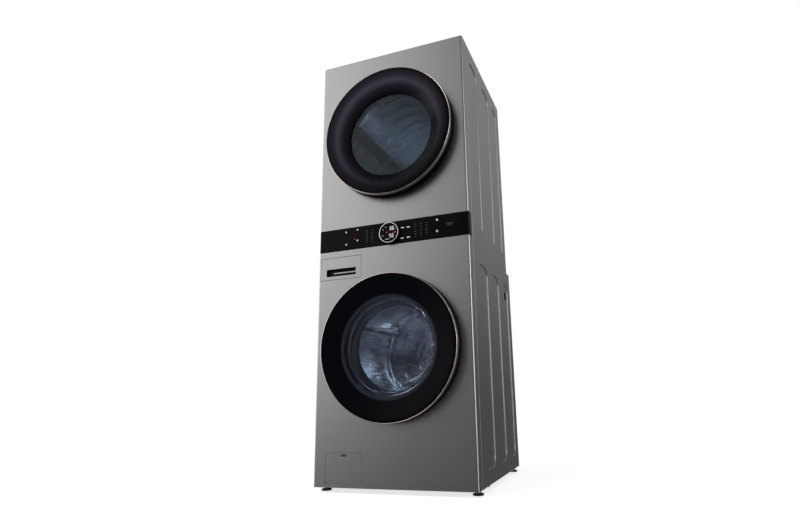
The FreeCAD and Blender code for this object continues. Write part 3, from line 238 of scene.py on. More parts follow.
# tone, roughness and height follow a noise laid on the piece's own coordinates
def grainedMaterial(name, constants, darker, lighter, roughness, stretch, bumpiness):
    material = newMaterial(name, constants)
    nodes = material.node_tree.nodes
    coords = nodes.new("ShaderNodeTexCoord")
    mapping = nodes.new("ShaderNodeMapping")
    mapping.inputs["Scale"].default_value = stretch
    noise = nodes.new("ShaderNodeTexNoise")
    noise.inputs["Scale"].default_value = 1.0
    noise.inputs["Detail"].default_value = grainDetail
    tones = nodes.new("ShaderNodeValToRGB")
    for element, place, tone in zip(tones.color_ramp.elements, grainRange, (darker, lighter)):
        element.position = place
        element.color = (*tone, 1)
    span = nodes.new("ShaderNodeMapRange")
    for socket, value in zip(("From Min", "From Max", "To Min", "To Max"), grainRange + roughness):
        span.inputs[socket].default_value = value
    bump = nodes.new("ShaderNodeBump")
    bump.inputs["Strength"].default_value = bumpiness
    bump.inputs["Distance"].default_value = grainHeight
    shader = shaderOf(material)
    link(coords, "Object", mapping, "Vector")
    link(mapping, "Vector", noise, "Vector")
    for node, socket, result, target in (
            (tones, "Fac", "Color", "Base Color"), (span, "Value", "Result", "Roughness"),
            (bump, "Height", "Normal", "Normal")):
        link(noise, "Fac", node, socket)
        link(node, result, shader, target)
    return material


metals = {
    # darker and lighter tone, roughness from and to, stretch of the grain, bump
    "graphiteSteel": ((0.345, 0.345, 0.347), (0.365, 0.365, 0.367), (0.33, 0.37), (5, 5, 420), 0.015),
    "champagneMetal": ((0.94, 0.76, 0.68), (1.0, 0.84, 0.76), (0.20, 0.26), (30, 400, 30), 0.02),
    "silverMetal": ((0.66, 0.66, 0.66), (0.74, 0.74, 0.74), (0.22, 0.28), (30, 400, 30), 0.02),
    "polished": ((0.42, 0.50, 0.64), (0.52, 0.60, 0.74), (0.10, 0.16), (30, 30, 30), 0.01),
    "stainless": ((0.62, 0.63, 0.65), (0.72, 0.73, 0.75), (0.20, 0.30), (40, 3, 40), 0.04),
    "galvanised": ((0.50, 0.51, 0.53), (0.64, 0.65, 0.67), (0.34, 0.48), (38, 38, 38), 0.05),
    "steelFittings": ((0.42, 0.42, 0.44), (0.50, 0.50, 0.52), (0.24, 0.34), (60, 60, 300), 0.05),
    # hinge steel darkened to near black: painted shade in the door's hinge slots
    "hingeSteelPaintedShade": ((0.045, 0.045, 0.048), (0.06, 0.06, 0.064), (0.34, 0.42), (60, 60, 200), 0.05),
    "castAluminium": ((0.55, 0.56, 0.57), (0.63, 0.64, 0.65), (0.42, 0.55), (180, 180, 180), 0.2),
}

mouldings = {
    # darker and lighter tone, roughness from and to, scale of the grain, bump, specular level, bending
    "blackGloss": ((0.002, 0.0018, 0.003), (0.003, 0.0025, 0.004), (0.24, 0.28), 30, 0.01, 0.3, 1.2),
    "blackPanel": ((0.002, 0.0018, 0.0025), (0.003, 0.0026, 0.0036), (0.16, 0.20), 30, 0.01, 0.2, 1.2),
    "darkPlastic": ((0.020, 0.020, 0.022), (0.028, 0.028, 0.030), (0.42, 0.52), 500, 0.08, 0.5, 1.45),
    "greyPlastic": ((0.36, 0.37, 0.39), (0.41, 0.42, 0.44), (0.42, 0.52), 400, 0.08, 0.5, 1.45),
    "whitePlastic": ((0.66, 0.67, 0.69), (0.72, 0.73, 0.75), (0.32, 0.42), 400, 0.08, 0.5, 1.45),
    "slatePlastic": ((0.030, 0.036, 0.044), (0.040, 0.047, 0.056), (0.36, 0.46), 300, 0.08, 0.5, 1.45),
    "blackRubber": ((0.010, 0.010, 0.010), (0.018, 0.018, 0.018), (0.60, 0.75), 300, 0.15, 0.5, 1.45),
    "greyRubber": ((0.10, 0.105, 0.11), (0.13, 0.135, 0.14), (0.48, 0.58), 220, 0.1, 0.5, 1.45),
    "motorPaint": ((0.06, 0.062, 0.066), (0.08, 0.082, 0.086), (0.45, 0.6), 260, 0.12, 0.5, 1.45),
}

glasses = {
    # tint, bending
    "smokedGlass": ((0.46, 0.56, 0.66), 1.22),
    "clearGlass": ((0.90, 0.94, 0.97), 1.45),
}

legends = {
    # colour, glow
    "whiteLegend": ((0.70, 0.72, 0.74), 0.7),
    "greyLegend": ((0.32, 0.33, 0.34), 0.35),
    "dimLegend": ((0.05, 0.052, 0.055), 0.3),
    "redLight": ((0.75, 0.01, 0.08), 1.0),
}

finishes = {name: grainedMaterial(name, {"Metallic": 1.0}, *values) for name, values in metals.items()}
for name, (darker, lighter, roughness, scale, bumpiness, level, bending) in mouldings.items():
    finishes[name] = grainedMaterial(name, {"Specular IOR Level": level, "IOR": bending}, darker, lighter,
                                     roughness, (scale, scale, scale), bumpiness)
for name, (tint, bending) in glasses.items():
    finishes[name] = newMaterial(name, {
        "Base Color": (*tint, 1), "Roughness": 0.0, "Transmission Weight": 1.0, "IOR": bending})
for name, (colour, glow) in legends.items():
    finishes[name] = newMaterial(name, {
        "Base Color": (*colour, 1), "Roughness": 0.4,
        "Emission Color": (*colour, 1), "Emission Strength": glow})


# centres the piece's coordinates on a door axis and measures the distance from it
def distanceFrom(axis, nodes):
    coords = nodes.new("ShaderNodeTexCoord")
    centred = nodes.new("ShaderNodeMapping")
    centred.inputs["Location"].default_value = (0, 0, -axis.z)
    centred.inputs["Scale"].default_value = (1, 0, 1)
    reach = nodes.new("ShaderNodeVectorMath")
    reach.operation = "LENGTH"
    link(coords, "Object", centred, "Vector")
    link(centred, "Vector", reach, 0)
    return centred, reach


# tools for shaping
def enterEdit():
    bpy.ops.object.mode_set(mode="EDIT")


def leaveEdit():
    bpy.ops.object.mode_set(mode="OBJECT")


def clearSelection():
    if bpy.context.object and bpy.context.object.mode != "OBJECT":
        leaveEdit()
    bpy.ops.object.select_all(action="DESELECT")


def pick(piece):
    clearSelection()
    piece.hide_set(False)
    piece.select_set(True)
    bpy.context.view_layer.objects.active = piece


# puts the piece's place into its mesh and names it
def settle(piece, name):
    pick(piece)
    bpy.ops.object.transform_apply(location=True, rotation=True, scale=True)
    piece.name = name
    piece.data.name = name
    return piece


def tidyMesh(piece, reach=0.005 * mm):
    pick(piece)
    enterEdit()
    bpy.ops.mesh.select_all(action="SELECT")
    bpy.ops.mesh.remove_doubles(threshold=reach)
    bpy.ops.mesh.normals_make_consistent(inside=False)
    leaveEdit()


def modify(piece, kind, **settings):
    pick(piece)
    modifier = piece.modifiers.new(kind.lower(), kind)
    for key, value in settings.items():
        setattr(modifier, key, value)
    bpy.ops.object.modifier_apply(modifier=modifier.name)
    return piece


def roundEdges(piece, width, segments=2, angle=30):
    return modify(piece, "BEVEL", width=width, segments=segments, limit_method="ANGLE",
                  angle_limit=math.radians(angle), harden_normals=False)


def smooth(piece, angle=35):
    pick(piece)
    bpy.ops.object.shade_smooth_by_angle(angle=math.radians(angle))
    return piece


# leans the shading of each corner towards its largest face, so that flat sheets look flat
def evenShading(piece):
    return modify(piece, "WEIGHTED_NORMAL", weight=80, keep_sharp=True)


def boxBetween(name, low, high):
    clearSelection()
    low, high = Vector(low), Vector(high)
    bpy.ops.mesh.primitive_cube_add(size=1, location=(low + high) / 2, scale=high - low)
    return settle(bpy.context.object, name)


# selects the edges or faces that pass the test, and stays in edit mode
def selectOnly(piece, parts, kind, test):
    enterEdit()
    bpy.ops.mesh.select_mode(type=kind)
    bpy.ops.mesh.select_all(action="DESELECT")
    leaveEdit()
    for part in getattr(piece.data, parts):
        part.select = test(part)
    enterEdit()


def selectEdges(piece, test):
    mesh = piece.data
    selectOnly(piece, "edges", "EDGE", lambda edge: test(*(mesh.vertices[end].co for end in edge.vertices)))


def selectFaces(piece, test):
    selectOnly(piece, "polygons", "FACE", test)


# rounds the selected edges and leaves edit mode
def bevelSelected(width, segments):
    bpy.ops.mesh.bevel(offset=width, segments=segments, affect="EDGES")
    leaveEdit()


# a block whose edges along one axis are rounded; only picks some of them
def roundedBlock(name, low, high, along, radius, segments=8, only=None):
    piece = boxBetween(name, low, high)
    pick(piece)

    def wanted(a, b):
        span = b - a
        straight = abs(span[along]) > 0.5 * span.length
        return straight and (only is None or only((a + b) / 2))

    selectEdges(piece, wanted)
    bevelSelected(radius, segments)
    return piece


# a plain cylinder, mostly used as a cutter
def barrel(name, middle, radius, length, along="Y", sides=64):
    clearSelection()
    turns = {"X": (0, math.pi / 2, 0), "Y": (math.pi / 2, 0, 0), "Z": (0, 0, 0)}
    bpy.ops.mesh.primitive_cylinder_add(vertices=sides, radius=radius, depth=length,
                                        location=middle, rotation=turns[along])
    return settle(bpy.context.object, name)


def cutAway(piece, cutters):
    for cutter in cutters:
        pick(piece)
        modifier = piece.modifiers.new("cut", "BOOLEAN")
        modifier.operation = "DIFFERENCE"
        modifier.solver = "EXACT"
        modifier.object = cutter
        bpy.ops.object.modifier_apply(modifier=modifier.name)
        bpy.data.objects.remove(cutter)
    return piece


def joined(name, parts):
    clearSelection()
    for part in parts:
        part.select_set(True)
    bpy.context.view_layer.objects.active = parts[0]
    bpy.ops.object.join()
    whole = bpy.context.object
    whole.name = name
    whole.data.name = name
    return whole


# adds points along a soft line through the given ones
def smoothPath(points, steps=5):
    path = []
    for index in range(len(points) - 1):
        before = points[max(index - 1, 0)]
        a, b = points[index], points[index + 1]
        after = points[min(index + 2, len(points) - 1)]
        for step in range(steps):
            t = step / steps
            path.append(tuple(
                0.5 * (2 * q + (r - p) * t + (2 * p - 5 * q + 4 * r - w) * t * t
                       + (3 * q - p - 3 * r + w) * t ** 3)
                for p, q, r, w in zip(before, a, b, after)))
    path.append(points[-1])
    return path


poleRadius = 0.05


# a ring drawn out along (radius, depth) steps in millimetres; depth runs into the machine, or up
# for an upright piece, and a radius of zero at either end of an open profile closes it in a pole
def turned(name, middle, profile, segments=128, closed=True, upright=False):
    clearSelection()
    middle = Vector(middle)
    away = Vector((0, 0, 1)) if upright else Vector((0, 1, 0))
    steps = [(max(radius, poleRadius) * mm, depth * mm) for radius, depth in profile]
    startsFlat = not closed and profile[0][0] == 0
    if startsFlat:
        steps = steps[1:]
    radius, depth = steps[0]
    bpy.ops.mesh.primitive_circle_add(vertices=segments, radius=radius, location=middle + away * depth,
                                      rotation=(0, 0, 0) if upright else (math.pi / 2, 0, 0),
                                      fill_type="TRIFAN" if startsFlat else "NOTHING")
    piece = bpy.context.object
    enterEdit()
    bpy.ops.mesh.select_mode(type="EDGE")
    bpy.ops.mesh.select_all(action="SELECT")
    if startsFlat:
        bpy.ops.mesh.select_all(action="DESELECT")
        bpy.ops.mesh.select_non_manifold()
    for nextRadius, nextDepth in steps[1:] + (steps[:1] if closed else []):
        bpy.ops.mesh.extrude_edges_move(TRANSFORM_OT_translate={"value": away * (nextDepth - depth)})
        grow = nextRadius / radius
        scale = (grow, grow, 1) if upright else (grow, 1, grow)
        bpy.ops.transform.resize(value=scale, center_override=middle + away * nextDepth)
        radius, depth = nextRadius, nextDepth
    if not closed and profile[-1][0] == 0:
        bpy.ops.mesh.merge(type="CENTER")
    leaveEdit()
    settle(piece, name)
    tidyMesh(piece)
    return piece


# copies a piece evenly round the Y axis through middle and joins them
def copiesAround(piece, middle, count, name):
    parts = [piece]
    for index in range(1, count):
        pick(piece)
        bpy.ops.object.duplicate()
        copy = bpy.context.object
        turn = Matrix.Rotation(2 * math.pi * index / count, 4, "Y")
        copy.data.transform(Matrix.Translation(middle) @ turn @ Matrix.Translation(-Vector(middle)))
        parts.append(copy)
    return joined(name, parts)


# material, shading, body and the nodes that the piece stands for
def finishPiece(piece, finish, body, nodes=(), angle=35):
    piece.data.materials.clear()
    piece.data.materials.append(finishes[finish])
    smooth(piece, angle)
    evenShading(piece)
    if body:
        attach(piece, body)
    if nodes:
        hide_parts(*nodes)
    return piece


# fronts
frontSheet = {
    "wall": 2 * mm,
    "bend": 8 * mm,
    "edge": 0.6 * mm,
    "doorHole": 208 * mm,
    "holeSides": 160,
    "cornerSteps": 10,
    "gap": 1 * mm,
    "flapUpper": 13 * mm,
    "flapLower": 7 * mm,
    "reach": 20 * mm,
    # slots for the hinge arms and the latch, half sizes
    "armX": -286 * mm,
    "armRise": 35 * mm,
    "armSlot": (5.5 * mm, 11.5 * mm),
    "latchX": 246 * mm,
    "latchSlot": (14 * mm, 15 * mm),
    "slotReach": 10 * mm,
}


# sheet front with bent corners and returns, pierced for the door, drawer and flap
def makeFrontSheet(name, node, low, high, axis, holes, strips=()):
    f = frontSheet
    piece = boxBetween(name, low, high)
    pick(piece)
    selectFaces(piece, lambda face: face.normal.y > 0.5 or abs(face.normal.z) > 0.5)
    bpy.ops.mesh.delete(type="FACE")
    leaveEdit()
    selectEdges(piece, lambda a, b: abs(a.z - b.z) > 0.1 and max(a.y, b.y) < low[1] + mm)
    bevelSelected(f["bend"], f["cornerSteps"])
    modify(piece, "SOLIDIFY", thickness=f["wall"], offset=-1)
    door = barrel("doorHole", (0, frontY, axis.z), f["doorHole"], 2 * f["reach"], sides=f["holeSides"])
    cutAway(piece, [door] + holes)
    for strip in strips:
        piece = joined(name, [piece, strip])
    roundEdges(piece, f["edge"], 2, 40)
    return finishPiece(piece, "graphiteSteel", "cabinet", [node])


# a cutter through the front sheet, given by its middle and half sizes
def slotAt(x, z, half):
    middle = Vector((x, frontY, z))
    spread = Vector((half[0], frontSheet["slotReach"], half[1]))
    return boxBetween("slot", middle - spread, middle + spread)


def slotCutters(axis):
    f = frontSheet
    arms = middleOf("washer_door_hinge_leaf").z - washerAxis.z
    slots = [slotAt(f["armX"], axis.z + side * f["armRise"] + arms, f["armSlot"]) for side in (1, -1)]
    return slots + [slotAt(f["latchX"], axis.z, f["latchSlot"])]


def makeFronts():
    f = frontSheet
    gap = f["gap"]
    margin = Vector((gap, f["reach"], gap))
    low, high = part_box("drawer_front")
    drawer = boxBetween("drawerHole", (low.x - gap, frontY - f["reach"], low.z - gap),
                        (high.x + gap, frontY + f["reach"], high.z + gap))
    low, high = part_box("filter_flap")
    low.y = high.y = frontY
    flap = roundedBlock("flapHole", low - margin, high + margin, 1, f["flapUpper"],
                        only=lambda edge: edge.z > (low.z + high.z) / 2)
    selectEdges(flap, lambda a, b: abs(a.y - b.y) > f["reach"] and a.z < low.z)
    bevelSelected(f["flapLower"], 6)
    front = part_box("washer_front_panel")
    makeFrontSheet("washerFrontSheet", "washer_front_panel", *front, washerAxis,
                   slotCutters(washerAxis) + [drawer, flap])
    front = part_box("dryer_front_panel")
    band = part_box("control_panel")[1]
    bottom = band.z + gap
    strips = []
    for side in (-1, 1):
        inner, outer = sorted((side * halfWidth, side * (halfWidth - f["wall"])))
        strips.append(boxBetween("strip", (inner, band.y + gap, front[0].z), (outer, front[1].y, bottom)))
    makeFrontSheet("dryerFrontSheet", "dryer_front_panel", (front[0].x, front[0].y, bottom), front[1],
                   dryerAxis, slotCutters(dryerAxis), strips)
    print("fronts made")


# cabinet wraps with pressed side fields
cabinetWrap = {
    "wall": 5 * mm,
    "press": 3 * mm,
    "round": 45 * mm,
    "soften": 2.2 * mm,
    "washerFields": ((107, 258), (328, 460), (550, 645)),
    "washerSpan": (77, 893),
    "dryerFields": ((90, 212), (300, 426), (499, 590)),
    "dryerSpan": (1020, 1828),
    "outside": 10 * mm,
    # openings, in millimetres; places are across, depth behind the front and height
    "gripDepth": 605,
    "gripLevel": 832,
    "gripHalf": (20, 17, 21),
    "gripRound": 8 * mm,
    "through": 30 * mm,
    "inletsX": (-250, -200),
    "inletHole": 14 * mm,
    "drainHole": 15 * mm,
    "ductX": -100,
    "ductLevel": 1060,
    "ductHole": 51.8 * mm,
}


def makeWrap(name, node, fields, span, holes):
    c = cabinetWrap
    low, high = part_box(node)
    piece = boxBetween(name, low, high)
    pick(piece)
    selectFaces(piece, lambda face: face.normal.y < -0.5 or abs(face.normal.z) > 0.5)
    bpy.ops.mesh.delete(type="FACE")
    leaveEdit()
    modify(piece, "SOLIDIFY", thickness=c["wall"], offset=-1)
    cutters = []
    for start, end in fields:
        for side in (-1, 1):
            inner, outer = sorted((side * (halfWidth - c["press"]), side * (halfWidth + c["outside"])))
            cutters.append(roundedBlock(
                "field", (inner, frontY + start * mm, span[0] * mm), (outer, frontY + end * mm, span[1] * mm),
                0, c["round"], 14))
    cutAway(piece, cutters)
    roundEdges(piece, c["soften"], 3, 30)
    cutAway(piece, holes)
    return finishPiece(piece, "graphiteSteel", "cabinet", [node])


def makeCabinets():
    c = cabinetWrap
    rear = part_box("washer_cabinet")[1].y
    holes = []
    spread = Vector(c["gripHalf"]) * mm
    for side in (-1, 1):
        grip = Vector((side * halfWidth, frontY + c["gripDepth"] * mm, c["gripLevel"] * mm))
        holes.append(roundedBlock("grip", grip - spread, grip + spread, 0, c["gripRound"]))
    valves = middleOf("inlet_valves")
    for x in c["inletsX"]:
        holes.append(barrel("inlet", (x * mm, rear, valves.z), c["inletHole"], c["through"]))
    pump = middleOf("drain_pump")
    holes.append(barrel("drain", (pump.x, rear, pump.z), c["drainHole"], c["through"]))
    makeWrap("washerWrap", "washer_cabinet", c["washerFields"], c["washerSpan"], holes)
    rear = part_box("dryer_cabinet")[1].y
    duct = barrel("duct", (c["ductX"] * mm, rear, c["ductLevel"] * mm), c["ductHole"], c["through"], sides=96)
    makeWrap("dryerWrap", "dryer_cabinet", c["dryerFields"], c["dryerSpan"], [duct])
    print("cabinet wraps made")


topSheet = {"wall": 2 * mm, "bend": 8 * mm, "edge": 0.7 * mm}


def makeTop():
    low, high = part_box("top_cover")
    piece = roundedBlock("topSheet", (low.x, low.y, high.z - topSheet["wall"]), high, 2, topSheet["bend"], 10,
                         lambda middle: middle.y < 0)
    roundEdges(piece, topSheet["edge"], 2, 50)
    finishPiece(piece, "graphiteSteel", "cabinet", ["top_cover"])
    print("top made")


# control band and dial
controlBand = {
    "bend": 8 * mm,
    "edge": 0.8 * mm,
    "bendDepth": 5 * mm,
    "dialHole": 16 * mm,
    "markRise": 0.15,
    # places are x and z from the dial's centre, in millimetres
    "leftIcons": ((-212, 34), (-157, 38), (-211, -23), (-157, -10)),
    "redLights": ((-170, -3),),
    "rightLegends": ((54, 19), (80, 19), (53, -26), (80, -25)),
    "faintColumns": (-112, -86, 112, 137, 162),
    "powerIcons": ((208, 32), (207, -16)),
}


# a thin printed dash on the face of the control band
def flatMark(name, x, z, width, height):
    dial = middleOf("dial_display")
    rise = controlBand["markRise"] * mm
    low = (dial.x + (x - width / 2) * mm, frontY - rise, dial.z + (z - height / 2) * mm)
    high = (dial.x + (x + width / 2) * mm, frontY + rise, dial.z + (z + height / 2) * mm)
    return boxBetween(name, low, high)


def ringMark(name, x, z, radius, thick):
    dial = middleOf("dial_display")
    inner, rise = radius - thick, controlBand["markRise"]
    return turned(name, (dial.x + x * mm, frontY, dial.z + z * mm),
                  [(radius, rise), (radius, -rise), (inner, -rise), (inner, rise)], 24)


def makeControlBand():
    c = controlBand
    low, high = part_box("control_panel")
    piece = roundedBlock("controlBand", low, high, 2, c["bend"], 10,
                         lambda middle: middle.y < frontY + c["bendDepth"])
    roundEdges(piece, c["edge"], 3, 50)
    dial = middleOf("dial_display")
    cutAway(piece, [barrel("dialHole", (0, frontY, dial.z), c["dialHole"], 20 * mm)])
    finishPiece(piece, "blackPanel", "cabinet", ["control_panel"])

    bright, faint = [], []
    for x, z in c["leftIcons"]:
        bright.append(ringMark("icon", x, z, 3.2, 0.8))
        bright.append(flatMark("iconBar", x, z, 1, 3.4))
    for x, z in c["rightLegends"]:
        bright.append(flatMark("legend", x, z, 13, 2.2))
        faint.append(flatMark("underline", x, z - 4.5, 9, 1.1))
    for x in c["faintColumns"]:
        for row in range(6):
            faint.append(flatMark("option", x, 27 - row * 10.5, 11 - 2 * (row % 3), 1.3))
    for x, z in c["powerIcons"]:
        bright.append(ringMark("power", x, z, 4.2, 1.0))
    bright.append(flatMark("powerBar", c["powerIcons"][0][0], c["powerIcons"][0][1] + 1.6, 1.0, 4.5))
    for row in range(3):
        faint.append(flatMark("note", 262, 12 - row * 5, 30 - row * 5, 1.2))
    finishPiece(joined("controlLegends", bright), "whiteLegend", "cabinet")
    finishPiece(joined("controlFaintLegends", faint), "dimLegend", "cabinet")
    reds = [turned("redLight", (dial.x + x * mm, frontY, dial.z + z * mm),
                   [(1.4, 0.1), (1.4, -0.25), (0, -0.3)], 20, closed=False) for x, z in c["redLights"]]
    finishPiece(joined("controlRedLight", reds), "redLight", "cabinet")
    print("control band made")


dialSettings = {
    # figures with the place of their middle from the dial's centre, in millimetres
    "figures": (("38", 12, 17), ("56", 12, -14)),
    "digitHeight": 15.0,
    "digitWidth": 6.5,
    "digitPitch": 11.5,
    "stroke": 1.7,
    "marks": ((-26, 14, 6), (-28, -12, 6), (-14, 24, 5), (-7, -28, 17), (29, 13, 4), (-9, 2, 4)),
    "dot": (28, -2),
    # steps in from the widest radius and back from the foremost face
    "ringSteps": ((5.2, 3), (5.2, 1), (4.9, 0.3), (4.4, 0), (2.8, 0), (2.1, 0.4), (1.8, 1.2), (1.8, 3)),
    "glassBack": 1.4,
}

segmentsOfDigit = {"3": "abcdg", "5": "acdfg", "6": "acdefg", "8": "abcdefg"}


# the lit bars of one seven-segment digit
def digitParts(digit, centreX, centreZ, face, middle):
    d = dialSettings
    wide, tall, stroke = d["digitWidth"], d["digitHeight"], d["stroke"]
    bars = {
        "a": (0, tall / 2, wide, stroke), "g": (0, 0, wide, stroke), "d": (0, -tall / 2, wide, stroke),
        "b": (wide / 2, tall / 4, stroke, tall / 2), "c": (wide / 2, -tall / 4, stroke, tall / 2),
        "f": (-wide / 2, tall / 4, stroke, tall / 2), "e": (-wide / 2, -tall / 4, stroke, tall / 2),
    }
    parts = []
    for letter in segmentsOfDigit[digit]:
        x, z, width, height = bars[letter]
        x, z = middle.x + (centreX + x) * mm, middle.z + (centreZ + z) * mm
        width, height = (width - 0.5) * mm, (height - 0.5) * mm
        parts.append(boxBetween("bar", (x - width / 2, face - 0.12 * mm, z - height / 2),
                                (x + width / 2, face + 0.1 * mm, z + height / 2)))
    return parts


def makeDial():
    d = dialSettings
    ringLow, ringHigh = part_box("dial_ring")
    middle = (ringLow + ringHigh) / 2
    centre = (middle.x, frontY, middle.z)
    outer = (ringHigh.x - ringLow.x) / 2 / mm
    deep = (frontY - ringLow.y) / mm
    ring = turned("dialRing", centre, [(outer - step, -deep + rise) for step, rise in d["ringSteps"]], 144)
    finishPiece(ring, "silverMetal", "dial", ["dial_ring"])
    skirt = turned("dialSkirt", centre, [
        (outer - 7.5, -1), (outer - 7.5, -deep + 2.6), (outer - 0.6, -deep + 2.6), (outer, -deep + 4.5),
        (outer - 0.4, -6), (outer - 0.8, -1)], 144)
    roundEdges(skirt, 0.3 * mm, 2, 30)
    finishPiece(skirt, "blackPanel", "dial")

    glassDepth = d["glassBack"] - deep
    face = turned("dialFace", centre, [
        (0, glassDepth), (outer - 9.6, glassDepth), (outer - 8.4, -deep + 2.4), (outer - 8.2, -deep + 4),
        (outer - 8.2, -0.2), (15, -0.2), (15, 4.5), (0, 4.5)], 96, closed=False)
    finishPiece(face, "blackPanel", "cabinet", ["dial_display"])
    glassY = frontY + glassDepth * mm
    lit = []
    for figure, x, z in d["figures"]:
        for index, digit in enumerate(figure):
            lit += digitParts(digit, x + (index - 0.5) * d["digitPitch"], z, glassY, middle)
    finishPiece(joined("dialDigits", lit), "whiteLegend", "cabinet")
    faint = []
    for x, z, width in d["marks"]:
        left, foot = middle.x + (x - width / 2) * mm, middle.z + (z - 1) * mm
        faint.append(boxBetween("mark", (left, glassY - 0.12 * mm, foot),
                                (left + width * mm, glassY + 0.1 * mm, foot + 2 * mm)))
    finishPiece(joined("dialMarks", faint), "greyLegend", "cabinet")
    dot = turned("dialRedDot", (middle.x + d["dot"][0] * mm, glassY, middle.z + d["dot"][1] * mm),
                 [(2.6, 0.1), (2.6, -0.2), (0, -0.25)], 24, closed=False)
    finishPiece(dot, "redLight", "cabinet")
    print("dial made")


# doors
doorSettings = {
    "ringOuter": 294.0,
    "ringInner": 291.6,
    "ringBack": 32.4,
    "ringFront": 50.0,
    "rimBase": 296.0,
    "rimFront": 291.5,
    "slotHeight": 18.0,
    "slotOuter": 310.0,
    "slotInner": 274.5,
    "slotDeep": 39.5,
    "hingeRise": 35.0,
}


# room in the door's left edge for the fixed hinge arms
def hingeSlots(axis):
    d = doorSettings
    high = d["slotHeight"] * mm
    cutters = []
    for side in (1, -1):
        z = axis.z + side * d["hingeRise"] * mm
        cutters.append(boxBetween("slot", (-d["slotOuter"] * mm, frontY - d["slotDeep"] * mm, z - high),
                                  (-d["slotInner"] * mm, frontY, z + high)))
    return cutters


def makeTrimRing(name, node, body, axis):
    d = doorSettings
    outer, inner, back, face = d["ringOuter"], d["ringInner"], d["ringBack"], d["ringFront"]
    ring = turned(name, axis, [
        (inner, -back), (outer - 0.6, -back), (outer, -back - 0.6), (outer, -face + 3.4),
        (outer - 0.3, -face + 1.7), (outer - 1.0, -face + 0.7), (outer - 1.7, -face + 0.5),
        (inner, -face + 1)], 192)
    cutAway(ring, hingeSlots(axis))
    finishPiece(ring, "champagneMetal", body, [node], 25)


def rimProfile(tail):
    d = doorSettings
    base, slim = d["rimBase"], d["rimFront"]
    return [
        (base - 4, -4), (base - 0.8, -4), (base, -4.8), (base - 1.5, -14), (slim + 1, -25), (slim, -31.2),
        (slim - 0.8, -32), (291.2, -32),
    ] + tail + [(286.6, -28), (slim - 3.5, -28), (base - 5.5, -14)]


dishLook = {
    "gloss": {"Roughness": 0.26, "Specular IOR Level": 0.25, "IOR": 1.15},
    "black": (0.0015, 0.0013, 0.0022, 1),
    # colour of the painted highlight
    "paintedHighlightTone": (0.044, 0.040, 0.056, 1),
    # the painted highlight's inner and outer radius, and its level at shares of the way between
    "reach": (190 * mm, 288 * mm),
    "levels": ((0.30, 0.25), (0.52, 1.0), (0.72, 0.35)),
    # direction of the side where the painted highlight is strongest, and the places along it where it starts
    # and is full
    "towards": (-0.62, 0, 0.78),
    "lean": (-0.26, 0.22),
}


# black gloss with a painted highlight: a faint violet band in the base colour round the crest of the dish,
# strongest at the upper left
def dishMaterial():
    d = dishLook
    material = newMaterial("dishGloss", d["gloss"])
    nodes = material.node_tree.nodes
    centred, reach = distanceFrom(dryerAxis, nodes)
    band = nodes.new("ShaderNodeValToRGB")
    for place, level in d["levels"]:
        band.color_ramp.elements.new(place).color = (level, level, level, 1)
    band.color_ramp.elements[-1].color = (0, 0, 0, 1)
    across = nodes.new("ShaderNodeMapRange")
    across.inputs["From Min"].default_value, across.inputs["From Max"].default_value = d["reach"]
    lean = nodes.new("ShaderNodeVectorMath")
    lean.operation = "DOT_PRODUCT"
    lean.inputs[1].default_value = d["towards"]
    side = nodes.new("ShaderNodeMapRange")
    side.inputs["From Min"].default_value, side.inputs["From Max"].default_value = d["lean"]
    amount = nodes.new("ShaderNodeMath")
    amount.operation = "MULTIPLY"
    # mixes the painted highlight into the black base colour
    colour = nodes.new("ShaderNodeMix")
    colour.data_type = "RGBA"
    black, paintedHighlightTone, blended = colourSockets(colour)
    black.default_value, paintedHighlightTone.default_value = d["black"], d["paintedHighlightTone"]
    link(centred, "Vector", lean, 0)
    link(reach, "Value", across, "Value")
    link(across, "Result", band, "Fac")
    link(lean, "Value", side, "Value")
    link(band, "Color", amount, 0)
    link(side, "Result", amount, 1)
    link(amount, "Value", colour, "Factor")
    material.node_tree.links.new(blended, shaderOf(material).inputs["Base Color"])
    return material


def makeDryerDoor():
    finishes["dishGloss"] = dishMaterial()
    surround = smoothPath([
        (291.2, -48.2), (288, -49.6), (278, -49.9), (264, -48), (248, -42.5), (235, -36), (220, -25),
        (207, -15), (198, -8.5), (192, -5.2)], 4)
    behind = smoothPath([
        (192, -3), (201, -5), (210, -11), (222, -20), (236, -31), (250, -38.5), (262, -43), (272, -45),
        (286, -44.6)], 3)
    cover = turned("dryerDoorCover", dryerAxis, rimProfile(surround + behind), 192)
    cutAway(cover, hingeSlots(dryerAxis))
    finishPiece(cover, "dishGloss", "dryer_door", ["dryer_door_cover"], 40)
    makeTrimRing("dryerTrimRing", "dryer_door_trim_ring", "dryer_door", dryerAxis)
    low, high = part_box("dryer_door_window")
    radius = (high.x - low.x) / 2 / mm
    near, far = (low.y - frontY) / mm, (high.y - frontY) / mm
    window = turned("dryerWindow", dryerAxis, [
        (0, near), (radius - 0.6, near), (radius, near + 0.6), (radius, far - 0.6), (radius - 0.6, far),
        (0, far)], 160, closed=False)
    finishPiece(window, "smokedGlass", "dryer_door", ["dryer_door_window"])
    print("dryer door made")


washerGlass = {
    "gloss": {"Roughness": 0.03, "Specular IOR Level": 0.2, "IOR": 1.15},
    # radii where the glass is still clear and where its black print is solid
    "clearEdge": 193,
    "solidEdge": 212,
    # print, thin print and its place, and clear tint
    "print": (0.002, 0.002, 0.003, 1),
    "thinPlace": 0.85,
    "thinPrint": (0.05, 0.055, 0.075, 1),
    "tint": (0.50, 0.51, 0.58, 1),
    # rings of light on the bowl: radius and depth
    "beads": ((196, -14), (187.5, -2)),
    "beadRadius": 0.7,
}


